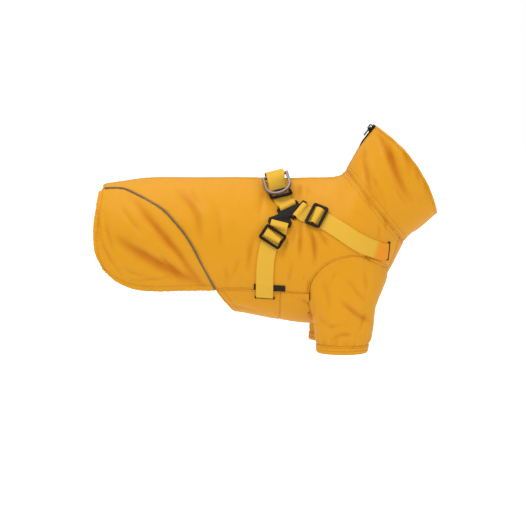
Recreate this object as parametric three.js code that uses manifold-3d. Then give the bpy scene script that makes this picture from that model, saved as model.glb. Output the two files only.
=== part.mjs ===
// Dog raincoat with built-in harness, worn form, real size in millimetres.
// The collar end points to +X, +Z is up, and the right flank faces -Y.
// The origin is on the inside of the coat, on the spine above the withers,
// where the coat hangs on its wearer.

import * as THREE from 'three';
import { mergeVertices } from 'three/addons/utils/BufferGeometryUtils.js';
import Module from 'manifold-3d';

// cloth and webbing
const CLOTH = 1.5;
const GAP = 0.3;
const WEBBING = { width: 20, wall: 1.5 };
const PIPING = { width: 2.2, height: 1.2 };
const HALF_ZIP_OPENING = 3.2;
const TAPE = { inner: 0.7, outer: 7.5, wall: 1, below: 0.9 };
const LINING_WALL = 1.2;
const BAND_WALL = 1.4;
const LABEL = { wall: 0.6, rear: -54, front: -18, topZ: -114.5, lowZ: -121.5, slope: -2 };
const CUFF = { wall: 2.2, top: -186, bottom: -196 };
const SLIDER = { width: 27.5, length: 19, bar: 3, middle: 2.4, depth: 2.4, corner: 2.6 };
const STRAP_RING = { width: 27, length: 11.5, bar: 3.1, depth: 2.8, corner: 2.5 };
const PLATE = { x: -16.2, z: -35.5, depth: 2.6, bar: 2.4, slot: 3, halfBar: 13.4, halfSlot: 10.9 };
const LEAD_RING = { inner: 25, wire: 3.4, bow: 34, fromSpine: 12.5, tilt: 0.28, bevel: 0.6, play: 0.35 };
const ZIP_PULL = { width: 7, length: 12.5, wall: 1.2, slotWidth: 3.4, slotLength: 4.6, corner: 1.6 };
const ZIP_SLIDER = { width: 9, length: 10, height: 2.4, neck: 3.6, neckDrop: 0.5, at: 135 };
const ZIP_ARCH = { width: 2.2, length: 6.8, height: 3.5, wall: 1.3, root: 0.3 };
const CHAMFER = 1;

// heights of the hard pieces over the coat's inner face, and their places
// along their own straps
const HARDWARE_HEIGHT = CLOTH + 2 * GAP + WEBBING.wall + 0.75;
const CHEST_LIFT = 0.4;
const STRAP_RING_LIFT = { right: 0.6, left: 0.2 };
const PLATE_BAR_AT = 6;
const STRAP_RING_AT = 23.7;
const GIRTH_SLIDER_AT = 21.6;
const CHEST_SLIDER_AT = 27.3;
const RING_LOOP = { flat: 2.4, ramp: 17, high: 12, leadRingRest: 5.2 };
const STRAP_STEP = 7;
const STOP_GAP = 0.4;
const STEP_UP = 0.05;
const SLOT_TURN = 0.1;
const PLATE_LIFT = 0.6;
const GIRTH_LIFT = 0.4;
const PLATE_CORNER = 1.5;
const BAR_CLEARANCE = 1;
const RING_BAR_GAP = 1.2;

// how far the sleeve's first ring lies inside the armhole
const SLEEVE_INSET = { rear: 0.5, front: 1.6, under: 1.5 };

// stations along the coat
const TAIL_END = -231;
const RIM = 140;
const BELLY_HEM_BOW = 24;

// colours
const COAT = { color: 0xeea836, roughness: 0.62, metalness: 0 };
const WEB = { color: 0xe8c448, roughness: 0.75, metalness: 0 };
const BLACK_PLASTIC = { color: 0x16140f, roughness: 0.4, metalness: 0 };
const BLACK_CLOTH = { color: 0x1b1714, roughness: 0.85, metalness: 0 };
const REFLECTIVE = { color: 0x8f8f8c, roughness: 0.45, metalness: 0.1 };
const STEEL = { color: 0x8c8684, roughness: 0.25, metalness: 1 };

// Rings of the body, from the tail to the rim of the collar. Each lies in a
// plane across the coat, from a point on the back to one below.
const rings = [
  { at: -250, backX: -250, backZ: -10, lowX: -250, lowZ: -150, half: 39, wide: 0.5, roof: 0.1, keel: 0.2, bow: 0 },
  { at: -233, backX: -233, backZ: -6, lowX: -233, lowZ: -150, half: 46, wide: 0.5, roof: 0.1, keel: 0.2, bow: 0 },
  { at: -211, backX: -211, backZ: -3, lowX: -211, lowZ: -151, half: 52, wide: 0.5, roof: 0.1, keel: 0.2, bow: 0 },
  { at: -176, backX: -176, backZ: 1.4, lowX: -176, lowZ: -152, half: 57, wide: 0.5, roof: 0.1, keel: 0.2, bow: 0 },
  { at: -118, backX: -118, backZ: 1.6, lowX: -118, lowZ: -152, half: 60, wide: 0.5, roof: 0, keel: 0.2, bow: 0 },
  { at: -72, backX: -72, backZ: 1.9, lowX: -74, lowZ: -154, half: 61, wide: 0.51, roof: -0.35, keel: 0.2, bow: 0 },
  { at: -24, backX: -24, backZ: 1.9, lowX: -24, lowZ: -163, half: 63, wide: 0.53, roof: -0.75, keel: 0.2, bow: 0 },
  { at: 11, backX: 11, backZ: 1.9, lowX: 20, lowZ: -167, half: 65, wide: 0.52, roof: -0.6, keel: 0.15, bow: 0 },
  { at: 38, backX: 35, backZ: 1.9, lowX: 58, lowZ: -157, half: 65.5, wide: 0.5, roof: -0.4, keel: 0.1, bow: 0 },
  { at: 60, backX: 47, backZ: 4, lowX: 88, lowZ: -131, half: 62, wide: 0.47, roof: -0.2, keel: 0, bow: 0 },
  { at: 71, backX: 51, backZ: 7, lowX: 106, lowZ: -101, half: 56, wide: 0.47, roof: -0.1, keel: 0, bow: 0 },
  { at: 80, backX: 55, backZ: 12, lowX: 122, lowZ: -70, half: 50, wide: 0.48, roof: 0, keel: 0, bow: 0 },
  { at: 108, backX: 69, backZ: 36, lowX: 139.5, lowZ: -55, half: 47, wide: 0.5, roof: 0.1, keel: 0.1, bow: 3 },
  { at: 140, backX: 89, backZ: 63, lowX: 159, lowZ: -38, half: 50, wide: 0.5, roof: 0.1, keel: 0.1, bow: 11 },
];

// Edges of the cut pieces, in side view for the right flank.
const rearHem = [
  { x: -234, z: -12 },
  { x: -236.5, z: -31 },
  { x: -239, z: -55 },
  { x: -237, z: -80 },
  { x: -228, z: -100 },
];
const skirtHem = [
  { x: -228, z: -100 },
  { x: -214, z: -113 },
  { x: -197, z: -121 },
  { x: -179, z: -124.5 },
  { x: -139, z: -124 },
  { x: -98, z: -123.5 },
];
const pipingLine = [
  { x: -230, z: -9.5 },
  { x: -207, z: -9 },
  { x: -190, z: -14.5 },
  { x: -173, z: -22.5 },
  { x: -157, z: -32 },
  { x: -145, z: -44 },
  { x: -133, z: -58 },
  { x: -123, z: -74 },
  { x: -114, z: -92 },
  { x: -105, z: -109 },
  { x: -98, z: -123.5 },
];
const bellySeam = [
  { x: -98, z: -123.5 },
  { x: -79, z: -121.5 },
  { x: -57, z: -122 },
  { x: -24, z: -124.5 },
  { x: 9, z: -126 },
];
const armholeOver = [
  { x: 9, z: -126 },
  { x: 12, z: -112 },
  { x: 20, z: -100 },
  { x: 31, z: -91 },
  { x: 44, z: -85.5 },
  { x: 57, z: -83 },
  { x: 70, z: -83.5 },
  { x: 83, z: -87.5 },
  { x: 94, z: -93.5 },
  { x: 101.5, z: -99 },
];
const frontSeam = [
  { x: 101.5, z: -99 },
  { x: 106, z: -90 },
  { x: 110.5, z: -78 },
  { x: 114.5, z: -64.5 },
];
// the hidden half of the armhole, seen from below
const armholeUnder = [
  { x: 11, y: -44 },
  { x: 20, y: -31 },
  { x: 36, y: -20.5 },
  { x: 54, y: -18 },
  { x: 72, y: -16 },
  { x: 87, y: -16 },
];

// Sections of the sleeve below the armhole.
const sleeveRings = [
  { z: -196, midX: 47.8, midY: -46, halfX: 27.8, halfY: 22.5 },
  { z: -186, midX: 48.5, midY: -46, halfX: 29.5, halfY: 23.5 },
  { z: -181, midX: 49.5, midY: -46.5, halfX: 31.5, halfY: 24.5 },
  { z: -165, midX: 49.8, midY: -47, halfX: 33, halfY: 25 },
  { z: -140, midX: 49, midY: -46.5, halfX: 35.3, halfY: 25 },
  { z: -118, midX: 53, midY: -45, halfX: 40, halfY: 23 },
  { z: -100, midX: 58, midY: -43, halfX: 44, halfY: 22 },
];
const HIDDEN_SLEEVE_SWING = -7;

// Soft troughs in the cloth: a start, a point that bends them, an end, half
// their width and how deep they are. The hidden flank has like ones.
const coatCreases = [
  { x1: -190, z1: -24, x2: -146, z2: -70, x3: -115, z3: -116, half: 9, deep: 2.6 },
  { x1: -212, z1: -62, x2: -172, z2: -90, x3: -114, z3: -117, half: 12, deep: 3 },
  { x1: -146, z1: -8, x2: -112, z2: -28, x3: -116, z3: -66, half: 9, deep: 1.6 },
  { x1: -54, z1: -60, x2: -60, z2: -78, x3: -61, z3: -100, half: 8, deep: 1.6 },
  { x1: 0, z1: -44, x2: -2, z2: -62, x3: -2, z3: -86, half: 6, deep: 2 },
  { x1: 9, z1: -50, x2: 17, z2: -68, x3: 15, z3: -92, half: 6, deep: 2.2 },
  { x1: 1, z1: 0, x2: -3, z2: -10, x3: -3, z3: -24, half: 5, deep: 1.4 },
  { x1: 101, z1: 47, x2: 99, z2: 22, x3: 124, z3: -20, half: 9, deep: 2.6 },
  { x1: 72, z1: 32, x2: 74, z2: 6, x3: 84, z3: -22, half: 7, deep: 1.6 },
];
const sleeveCreases = [
  { x1: 46, z1: -134, x2: 62, z2: -150, x3: 80, z3: -158, half: 7, deep: 1.6 },
  { x1: 6, z1: -112, x2: 12, z2: -124, x3: 8, z3: -140, half: 6, deep: 1.6 },
  { x1: 40, z1: -176, x2: 50, z2: -170, x3: 60, z3: -174, half: 6, deep: 1.4 },
];
const HIDDEN_FLANK = { x: 6, z: -4, depth: 0.85 };
const CREASE_FREE = { zip: 11, full: 20 };

// Routes of the straps in side view.
const shoulderRoute = [
  { x: -24, z: -17 },
  { x: -29, z: -7 },
];
const girthRoute = [
  { x: -31.3, z: -59.6 },
  { x: -36.5, z: -69 },
  { x: -40.5, z: -88 },
  { x: -41.5, z: -110 },
  { x: -41.5, z: -130 },
];
const chestRoute = [
  { x: 19.5, z: -40 },
  { x: 45, z: -54 },
  { x: 62, z: -65 },
  { x: 78, z: -73 },
  { x: 99, z: -79 },
];

// Smooth value of one column of a table at a station.
function tableValue(rows, key, column, station) {
  let i = 0;
  while (i < rows.length - 2 && station > rows[i + 1][key]) i += 1;
  const a = rows[i];
  const b = rows[i + 1];
  const span = b[key] - a[key];
  const slopeAt = (k) => {
    const before = rows[Math.max(k - 1, 0)];
    const after = rows[Math.min(k + 1, rows.length - 1)];
    return (after[column] - before[column]) / (after[key] - before[key]);
  };
  const u = (station - a[key]) / span;
  const w = u * u * (3 - 2 * u);
  const leave = slopeAt(i) * span * u * (1 - u) * (1 - u);
  const arrive = slopeAt(i + 1) * span * u * u * (1 - u);
  return a[column] * (1 - w) + b[column] * w + leave - arrive;
}

// Point on the inner face of the coat. A place has s, the station along the
// coat, and t, the turn round it: 0 on the spine, 0.5 on the right flank, 1
// under the belly, 1.5 or -0.5 on the left flank.
function coatPoint({ s, t }) {
  const ring = (column) => tableValue(rings, 'at', column, s);
  const turn = Math.PI * t;
  const down = (1 - Math.cos(turn)) / 2;
  const side = Math.sin(turn);
  const share = down + (ring('wide') - 0.5) * side * side;
  const square = THREE.MathUtils.lerp(ring('roof'), ring('keel'), down);
  const deltaX = ring('lowX') - ring('backX');
  const deltaZ = ring('lowZ') - ring('backZ');
  const length = Math.hypot(deltaX, deltaZ);
  const ahead = (ring('bow') * side * side) / length;
  return new THREE.Vector3(
    ring('backX') + deltaX * share - deltaZ * ahead,
    -ring('half') * side * (1 + square * (1 - Math.abs(side))),
    ring('backZ') + deltaZ * share + deltaX * ahead,
  );
}

// The surface's two directions and its outward normal at a place.
function coatFrame(place) {
  const { s, t } = place;
  const stepS = 0.5;
  const stepT = 0.004;
  const point = coatPoint(place);
  const alongS = coatPoint({ s: s + stepS, t }).sub(coatPoint({ s: s - stepS, t }));
  alongS.divideScalar(2 * stepS);
  const alongT = coatPoint({ s, t: t + stepT }).sub(coatPoint({ s, t: t - stepT }));
  alongT.divideScalar(2 * stepT);
  const out = new THREE.Vector3().crossVectors(alongT, alongS).normalize();
  return { point, alongS, alongT, out };
}

// Place of a point given by two of its coordinates, found from a first guess.
function placeAt(wanted, guess) {
  const axes = Object.keys(wanted);
  const place = { ...guess };
  for (let round = 0; round < 30; round += 1) {
    const { point, alongS, alongT } = coatFrame(place);
    const miss = axes.map((axis) => wanted[axis] - point[axis]);
    const [a, b] = axes;
    const det = alongS[a] * alongT[b] - alongS[b] * alongT[a];
    const moveS = (miss[0] * alongT[b] - miss[1] * alongT[a]) / det;
    const moveT = (alongS[a] * miss[1] - alongS[b] * miss[0]) / det;
    place.s += THREE.MathUtils.clamp(moveS, -15, 15);
    place.t += THREE.MathUtils.clamp(moveT, -0.05, 0.05);
  }
  return place;
}

function flankPlace({ x, z }) {
  return placeAt({ x, z }, { s: Math.min(x, 76), t: x > 90 ? 0.8 : 0.45 });
}

function undersidePlace({ x, y }) {
  return placeAt({ x, y }, { s: x * 0.75, t: 0.88 });
}

// Walk over the surface from a place by a short vector.
function walk(place, vector, steps = 3) {
  let here = { ...place };
  const length = vector.length() / steps;
  for (let i = 0; i < steps; i += 1) {
    const { alongS, alongT, out } = coatFrame(here);
    const move = vector.clone().addScaledVector(out, -vector.dot(out)).setLength(length || 1e-9);
    const ss = alongS.dot(alongS);
    const st = alongS.dot(alongT);
    const tt = alongT.dot(alongT);
    const ms = move.dot(alongS);
    const mt = move.dot(alongT);
    const det = ss * tt - st * st;
    here = { s: here.s + (ms * tt - mt * st) / det, t: here.t + (mt * ss - ms * st) / det };
  }
  return here;
}

// Depth of the creases at a point, less on the hidden flank.
function creaseDepth(creases, point) {
  const hidden = point.y > 0;
  const x = point.x - (hidden ? HIDDEN_FLANK.x : 0);
  const z = point.z - (hidden ? HIDDEN_FLANK.z : 0);
  let depth = 0;
  for (const { x1, z1, x2, z2, x3, z3, half, deep } of creases) {
    let nearest = Infinity;
    let nearestU = 0;
    for (let i = 0; i <= 12; i += 1) {
      const u = i / 12;
      const bx = (1 - u) * (1 - u) * x1 + 2 * u * (1 - u) * x2 + u * u * x3;
      const bz = (1 - u) * (1 - u) * z1 + 2 * u * (1 - u) * z2 + u * u * z3;
      const away = Math.hypot(x - bx, z - bz);
      if (away < nearest) {
        nearest = away;
        nearestU = u;
      }
    }
    if (nearest < half) {
      const across = Math.cos((nearest / half) * (Math.PI / 2)) ** 2;
      depth += deep * across * Math.sin(Math.PI * (0.08 + 0.84 * nearestU));
    }
  }
  const clearOfZip = THREE.MathUtils.smoothstep(Math.abs(point.y), CREASE_FREE.zip, CREASE_FREE.full);
  return depth * clearOfZip * (hidden ? HIDDEN_FLANK.depth : 1);
}

// Point at a height over the inner face, with or without the creases.
function overCoat(place, height, creased = false) {
  const { point, out } = coatFrame(place);
  const sink = creased ? creaseDepth(coatCreases, point) : 0;
  return point.addScaledVector(out, height - sink);
}

// Evenly spaced places on a smooth line through some places.
function alongPlaces(places, count) {
  const degree = 100;
  const knots = places.map(({ s, t }) => new THREE.Vector3(s, t * degree, 0));
  const line = new THREE.CatmullRomCurve3(knots, false, 'centripetal');
  const fine = 80;
  const samples = [];
  for (let i = 0; i <= fine; i += 1) {
    const at = line.getPoint(i / fine);
    samples.push({ s: at.x, t: at.y / degree });
  }
  const points = samples.map(coatPoint);
  const run = [0];
  for (let i = 1; i <= fine; i += 1) run.push(run[i - 1] + points[i].distanceTo(points[i - 1]));
  const atRun = (wanted) => {
    let i = 0;
    while (i < fine - 1 && run[i + 1] < wanted) i += 1;
    const u = (wanted - run[i]) / (run[i + 1] - run[i]);
    return {
      s: THREE.MathUtils.lerp(samples[i].s, samples[i + 1].s, u),
      t: THREE.MathUtils.lerp(samples[i].t, samples[i + 1].t, u),
    };
  };
  const spaced = Array.from({ length: count + 1 }, (_, i) => atRun((run[fine] * i) / count));
  return Object.assign(spaced, { total: run[fine], atRun });
}

const mirrored = (place) => ({ s: place.s, t: -place.t });
const underMirrored = (place) => ({ s: place.s, t: 2 - place.t });
const mix = (a, b, u) => ({ s: a.s + (b.s - a.s) * u, t: a.t + (b.t - a.t) * u });

// Place at a distance from the spine on the right.
function besideSpine(s, distance) {
  const { alongT } = coatFrame({ s, t: 0.01 });
  return { s, t: distance / alongT.length() };
}

// Grid of places filling four edges. Rear and front run down, upper and lower
// run forwards, and half of a seam's gap is left all round.
function fillEdges({ upper, lower, rear, front }) {
  const columns = upper.length - 1;
  const rows = rear.length - 1;
  const grid = [];
  for (let i = 0; i <= columns; i += 1) {
    const u = i / columns;
    const column = [];
    for (let j = 0; j <= rows; j += 1) {
      const v = j / rows;
      const blend = (key) => (
        (1 - v) * upper[i][key] + v * lower[i][key] + (1 - u) * rear[j][key] + u * front[j][key]
        - (1 - u) * (1 - v) * upper[0][key] - u * (1 - v) * upper[columns][key]
        - (1 - u) * v * lower[0][key] - u * v * lower[columns][key]
      );
      column.push({ s: blend('s'), t: blend('t') });
    }
    grid.push(column);
  }
  const pull = (edge, inside) => {
    const away = coatPoint(edge).distanceTo(coatPoint(inside));
    return mix(edge, inside, Math.min(0.5, (GAP / 2 + 0.02) / away));
  };
  for (let j = 0; j <= rows; j += 1) {
    grid[0][j] = pull(grid[0][j], grid[1][j]);
    grid[columns][j] = pull(grid[columns][j], grid[columns - 1][j]);
  }
  for (let i = 0; i <= columns; i += 1) {
    grid[i][0] = pull(grid[i][0], grid[i][1]);
    grid[i][rows] = pull(grid[i][rows], grid[i][rows - 1]);
  }
  return grid;
}

// Closed wall between two grids of points. A tube's columns close on
// themselves, and a loop's last row meets its first.
function wallBetween(inner, outer, { tube = false, loop = false } = {}) {
  const columns = inner.length;
  const rows = inner[0].length;
  const vertices = [...inner.flat(), ...outer.flat()];
  const index = [];
  const id = (layer, i, j) => layer * columns * rows + (i % columns) * rows + (j % rows);
  const quad = (a, b, c, d) => index.push(a, b, c, a, c, d);
  const lastColumn = loop ? columns : columns - 1;
  const lastRow = tube ? rows : rows - 1;
  for (let i = 0; i < lastColumn; i += 1) {
    for (let j = 0; j < lastRow; j += 1) {
      quad(id(0, i, j), id(0, i + 1, j), id(0, i + 1, j + 1), id(0, i, j + 1));
      quad(id(1, i, j), id(1, i, j + 1), id(1, i + 1, j + 1), id(1, i + 1, j));
    }
  }
  if (!tube) {
    for (let i = 0; i < lastColumn; i += 1) {
      quad(id(0, i, 0), id(1, i, 0), id(1, i + 1, 0), id(0, i + 1, 0));
      quad(id(0, i, rows - 1), id(0, i + 1, rows - 1), id(1, i + 1, rows - 1), id(1, i, rows - 1));
    }
  }
  if (!loop) {
    for (let j = 0; j < lastRow; j += 1) {
      quad(id(0, 0, j), id(0, 0, j + 1), id(1, 0, j + 1), id(1, 0, j));
      quad(id(0, columns - 1, j), id(1, columns - 1, j), id(1, columns - 1, j + 1), id(0, columns - 1, j + 1));
    }
  }
  let volume = 0;
  for (let k = 0; k < index.length; k += 3) {
    const [a, b, c] = [index[k], index[k + 1], index[k + 2]].map((n) => vertices[n]);
    volume += a.dot(new THREE.Vector3().crossVectors(b, c));
  }
  if (volume < 0) index.reverse();
  const geometry = new THREE.BufferGeometry();
  geometry.setAttribute('position', new THREE.Float32BufferAttribute(vertices.flatMap((p) => p.toArray()), 3));
  geometry.setIndex(index);
  geometry.computeVertexNormals();
  return geometry;
}

const coat = new THREE.Group();

function addPiece(name, geometry, look, frame) {
  const mesh = new THREE.Mesh(geometry, new THREE.MeshStandardMaterial({ ...look, side: THREE.FrontSide }));
  mesh.name = name;
  if (frame) mesh.applyMatrix4(frame);
  coat.add(mesh);
  return mesh;
}

// Piece of cloth cut over a grid of places, from one height to another.
function addCloth(name, grid, look, { from = 0, wall = CLOTH, creased = true } = {}) {
  const inner = grid.map((column) => column.map((place) => overCoat(place, from, creased)));
  const outer = grid.map((column) => column.map((place) => overCoat(place, from + wall, creased)));
  addPiece(name, wallBetween(inner, outer), look);
}

const straight = (a, b, count) => Array.from({ length: count + 1 }, (_, i) => mix(a, b, i / count));
const joined = (...lists) => lists.flatMap((list, k) => (k ? list.slice(1) : list));
const last = (list) => list[list.length - 1];
const HANDS = [['right', (place) => place], ['left', mirrored]];

// Seams shared by neighbouring pieces, as evenly spaced places.
const pipingPlaces = alongPlaces(pipingLine.map(flankPlace), 16);
const rearHemPlaces = alongPlaces(rearHem.map(flankPlace), 16);
const skirtHemPlaces = alongPlaces(skirtHem.map(flankPlace), 11);
const bellyPlaces = alongPlaces(bellySeam.slice(0, 4).map(flankPlace), 7);
const ribPlaces = alongPlaces(bellySeam.slice(3).map(flankPlace), 3);
const overPlaces = alongPlaces(armholeOver.map(flankPlace), 13);
const frontPlaces = alongPlaces(frontSeam.map(flankPlace), 3);
const underPlaces = alongPlaces([overPlaces[0], ...armholeUnder.map(undersidePlace), last(overPlaces)], 13);
const throatSeam = last(frontPlaces);

// Side panels, from the back zip to the belly seam and over the armhole.
const lowerEdge = joined(bellyPlaces, ribPlaces, overPlaces, frontPlaces);
const zipEdge = Array.from({ length: lowerEdge.length }, (_, i) => {
  const s = THREE.MathUtils.lerp(TAIL_END, throatSeam.s, i / (lowerEdge.length - 1));
  return besideSpine(s, HALF_ZIP_OPENING);
});
const tailEdge = [zipEdge[0], ...pipingPlaces];
const neckEdge = straight(last(zipEdge), throatSeam, tailEdge.length - 1);
const sideGrid = fillEdges({ upper: zipEdge, lower: lowerEdge, rear: tailEdge, front: neckEdge });

// Skirt panels behind the piping.
const skirtGrid = fillEdges({
  upper: straight(rearHemPlaces[0], pipingPlaces[0], skirtHemPlaces.length - 1),
  lower: skirtHemPlaces,
  rear: rearHemPlaces,
  front: pipingPlaces,
});

for (const [hand, turn] of HANDS) {
  addCloth(`side_panel_${hand}`, sideGrid.map((column) => column.map(turn)), COAT);
  addCloth(`skirt_panel_${hand}`, skirtGrid.map((column) => column.map(turn)), COAT);
}

// Panels that cross under the body, from the right seam to the left one.
function crossingGrid(seam, rearBow, rows) {
  const across = (start, bow) => Array.from({ length: rows + 1 }, (_, j) => {
    const v = j / rows;
    return { s: start.s + bow * Math.sin(Math.PI * v), t: THREE.MathUtils.lerp(start.t, 2 - start.t, v) };
  });
  return fillEdges({
    upper: seam,
    lower: seam.map(underMirrored),
    rear: across(seam[0], rearBow),
    front: across(last(seam), 0),
  });
}
addCloth('belly_panel', crossingGrid(bellyPlaces, BELLY_HEM_BOW, 12), COAT);
addCloth('chest_panel', crossingGrid(joined(ribPlaces, underPlaces, frontPlaces), 0, 8), COAT);

// Reflective piping on the seam between skirt and side.
const pipingGrid = pipingPlaces.map((place, i) => {
  const next = pipingPlaces[Math.min(i + 1, pipingPlaces.length - 1)];
  const before = pipingPlaces[Math.max(i - 1, 0)];
  const along = coatPoint(next).sub(coatPoint(before)).normalize();
  const across = new THREE.Vector3().crossVectors(coatFrame(place).out, along);
  return [-1, 1].map((side) => walk(place, across.clone().multiplyScalar((side * PIPING.width) / 2), 1));
});
for (const [hand, turn] of HANDS) {
  addCloth(`piping_${hand}`, pipingGrid.map((column) => column.map(turn)), REFLECTIVE, {
    from: CLOTH + GAP,
    wall: PIPING.height,
  });
}

// Grid round the body between two stations, open on the spine.
function openRound(fromS, toS, fromSpine, rows, rounds) {
  return Array.from({ length: rows + 1 }, (_, i) => {
    const start = besideSpine(THREE.MathUtils.lerp(fromS, toS, i / rows), fromSpine);
    return straight(start, underMirrored(start), rounds);
  });
}
const collarFrom = throatSeam.s + GAP;
const collarGrid = openRound(collarFrom, RIM, HALF_ZIP_OPENING, 7, 30);
const liningGrid = collarGrid.slice(1).map((column) => column.slice(2, -2));
addCloth('collar', collarGrid, COAT);
addCloth('collar_lining', liningGrid, BLACK_CLOTH, {
  from: -(GAP + LINING_WALL),
  wall: LINING_WALL,
});

// Zip tapes under both edges of the back opening, up to the rim.
const tapeSteps = 34;
const tapeGrid = Array.from({ length: tapeSteps + 1 }, (_, i) => {
  const s = THREE.MathUtils.lerp(TAIL_END + 2, RIM - 1, i / tapeSteps);
  return straight(besideSpine(s, TAPE.inner), besideSpine(s, TAPE.outer), 2);
});
for (const [hand, turn] of HANDS) {
  addCloth(`zip_tape_${hand}`, tapeGrid.map((column) => column.map(turn)), BLACK_CLOTH, {
    from: -(TAPE.below + TAPE.wall),
    wall: TAPE.wall,
    creased: false,
  });
}

// Sleeve: each line leaves the armhole and eases into the tube below it.
const armholePlaces = [...overPlaces, ...underPlaces.slice(1, -1).reverse()];
const armholeLoop = armholePlaces.map(coatPoint);
const armholeNormals = armholePlaces.map((place) => coatFrame(place).out);
const armholeMiddle = armholeLoop.reduce((sum, p) => sum.add(p), new THREE.Vector3()).divideScalar(armholeLoop.length);
function sleeveLine(k, z, ease, swing) {
  const angle = Math.PI * (1 - k / (overPlaces.length - 1));
  const ring = (column) => tableValue(sleeveRings, 'z', column, z);
  const under = Math.sqrt(Math.max(0, -Math.sin(angle)));
  const forward = Math.max(0, Math.cos(angle));
  const over = THREE.MathUtils.lerp(SLEEVE_INSET.rear, SLEEVE_INSET.front, forward);
  const inset = THREE.MathUtils.lerp(over, SLEEVE_INSET.under, under);
  const start = armholeLoop[k].clone().lerp(armholeMiddle, inset / armholeLoop[k].distanceTo(armholeMiddle));
  const swung = swing * ((last(sleeveRings).z - z) / (last(sleeveRings).z - CUFF.bottom)) ** 3;
  const tube = new THREE.Vector3(
    ring('midX') + swung + ring('halfX') * Math.cos(angle),
    ring('midY') - ring('halfY') * Math.sin(angle),
    z,
  );
  return new THREE.Vector3(
    THREE.MathUtils.lerp(start.x, tube.x, ease),
    THREE.MathUtils.lerp(start.y, tube.y, ease),
    z,
  );
}

function sleeveGrid(shares, top, bottom, swing) {
  return shares.map((share) => armholeLoop.map((start, k) => {
    const from = top ?? start.z;
    const z = THREE.MathUtils.lerp(from, bottom, share);
    const fall = (start.z - z) / (start.z - CUFF.top);
    return sleeveLine(k, z, 1 - Math.max(0, 1 - fall) ** 3, swing);
  }));
}

// Moves the points of a tube's rings out along its own normals, or along the
// coat's where the first ring lies in the armhole.
function outFromTube(grid, height, creases = [], firstNormals = []) {
  const rounds = grid[0].length;
  return grid.map((ring, i) => ring.map((point, j) => {
    const below = grid[Math.min(i + 1, grid.length - 1)][j];
    const above = grid[Math.max(i - 1, 0)][j];
    const down = below.clone().sub(above);
    const round = ring[(j + 1) % rounds].clone().sub(ring[(j + rounds - 1) % rounds]);
    const out = new THREE.Vector3().crossVectors(round, down).normalize();
    const middle = ring.reduce((sum, p) => sum.add(p), new THREE.Vector3()).divideScalar(rounds);
    if (out.dot(point.clone().sub(middle)) < 0) out.negate();
    if (firstNormals[j] && i < 2) out.lerp(firstNormals[j], 1 - i * 0.6).normalize();
    const sink = out.y < 0 ? creaseDepth(creases, point) : 0;
    return point.clone().addScaledVector(out, height - sink);
  }));
}

const mirrorPoints = (grid) => grid.map((ring) => ring.map((p) => new THREE.Vector3(p.x, -p.y, p.z)));
const sleeveShares = [0, 0.08, 0.18, 0.3, 0.44, 0.6, 0.76, 0.9, 1];
const SLEEVES = [
  ['right', 0, (grid) => grid],
  ['left', HIDDEN_SLEEVE_SWING, mirrorPoints],
];
for (const [hand, swing, flip] of SLEEVES) {
  const sleeve = sleeveGrid(sleeveShares, undefined, CUFF.top + GAP, swing);
  const sleeveIn = flip(outFromTube(sleeve, 0, sleeveCreases, armholeNormals));
  const sleeveOut = flip(outFromTube(sleeve, CLOTH, sleeveCreases, armholeNormals));
  addPiece(`sleeve_${hand}`, wallBetween(sleeveIn, sleeveOut, { tube: true }), COAT);
  const cuff = sleeveGrid([0, 0.5, 1], CUFF.top - GAP, CUFF.bottom, swing);
  const cuffOut = flip(outFromTube(cuff, CUFF.wall));
  addPiece(`cuff_${hand}`, wallBetween(flip(cuff), cuffOut, { tube: true }), COAT);
}

// Blank side label, sewn in above the belly seam.
const labelSteps = 6;
const labelGrid = Array.from({ length: labelSteps + 1 }, (_, i) => {
  const u = i / labelSteps;
  const x = THREE.MathUtils.lerp(LABEL.rear, LABEL.front, u);
  return [LABEL.topZ, LABEL.lowZ].map((z) => flankPlace({ x, z: z + LABEL.slope * u }));
});
addCloth('side_label', labelGrid, BLACK_CLOTH, { from: CLOTH + GAP, wall: LABEL.wall });

// Webbing laid along a line of places. A hump lifts it over something: at is
// its middle, flat half its level part, ramp the slope on each side. Up to its
// foot the underside stays down, where the webbing comes up through a slot.
function humpShare({ at, flat, ramp }, distance) {
  return THREE.MathUtils.clamp(1 - (Math.abs(distance - at) - flat) / ramp, 0, 1);
}

function addWebbing(name, line, from, to, { humps = [], base = CLOTH + GAP, wall = WEBBING.wall } = {}) {
  const stops = new Set([from, to]);
  for (let d = from + STRAP_STEP; d < to - STRAP_STEP / 2; d += STRAP_STEP) stops.add(d);
  for (const { at, flat, ramp, foot } of humps) {
    for (const d of [at - flat - ramp, at - flat, at, at + flat, at + flat + ramp, foot, foot + STEP_UP]) {
      if (d > from && d < to) stops.add(d);
    }
  }
  const feet = humps.filter(({ foot }) => foot).flatMap(({ foot }) => [foot, foot + STEP_UP]);
  const sorted = [...stops].sort((a, b) => a - b)
    .filter((d) => feet.includes(d) || feet.every((foot) => Math.abs(d - foot) > STOP_GAP))
    .filter((d, i, all) => i === 0 || feet.includes(d) || d - all[i - 1] > STOP_GAP);
  const layers = [0, wall].map((extra) => sorted.map((distance) => {
    const { place, across, out, point } = stationOn(line, distance);
    return [-1, -0.5, 0, 0.5, 1].map((side) => {
      const aside = (side * WEBBING.width) / 2;
      const beside = walk(place, across.clone().multiplyScalar(aside || 1e-6));
      const lying = overCoat(beside, base + extra);
      return humps.reduce((at, hump) => {
        if (extra === 0 && distance <= hump.foot) return at;
        const tilt = (hump.tilt ?? 0) * across.x * aside;
        const lifted = point.clone().addScaledVector(across, aside);
        lifted.addScaledVector(out, base + extra + hump.high + tilt);
        return at.lerp(lifted, humpShare(hump, distance));
      }, lying);
    });
  }));
  addPiece(name, wallBetween(layers[0], layers[1]), WEB);
}

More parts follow.
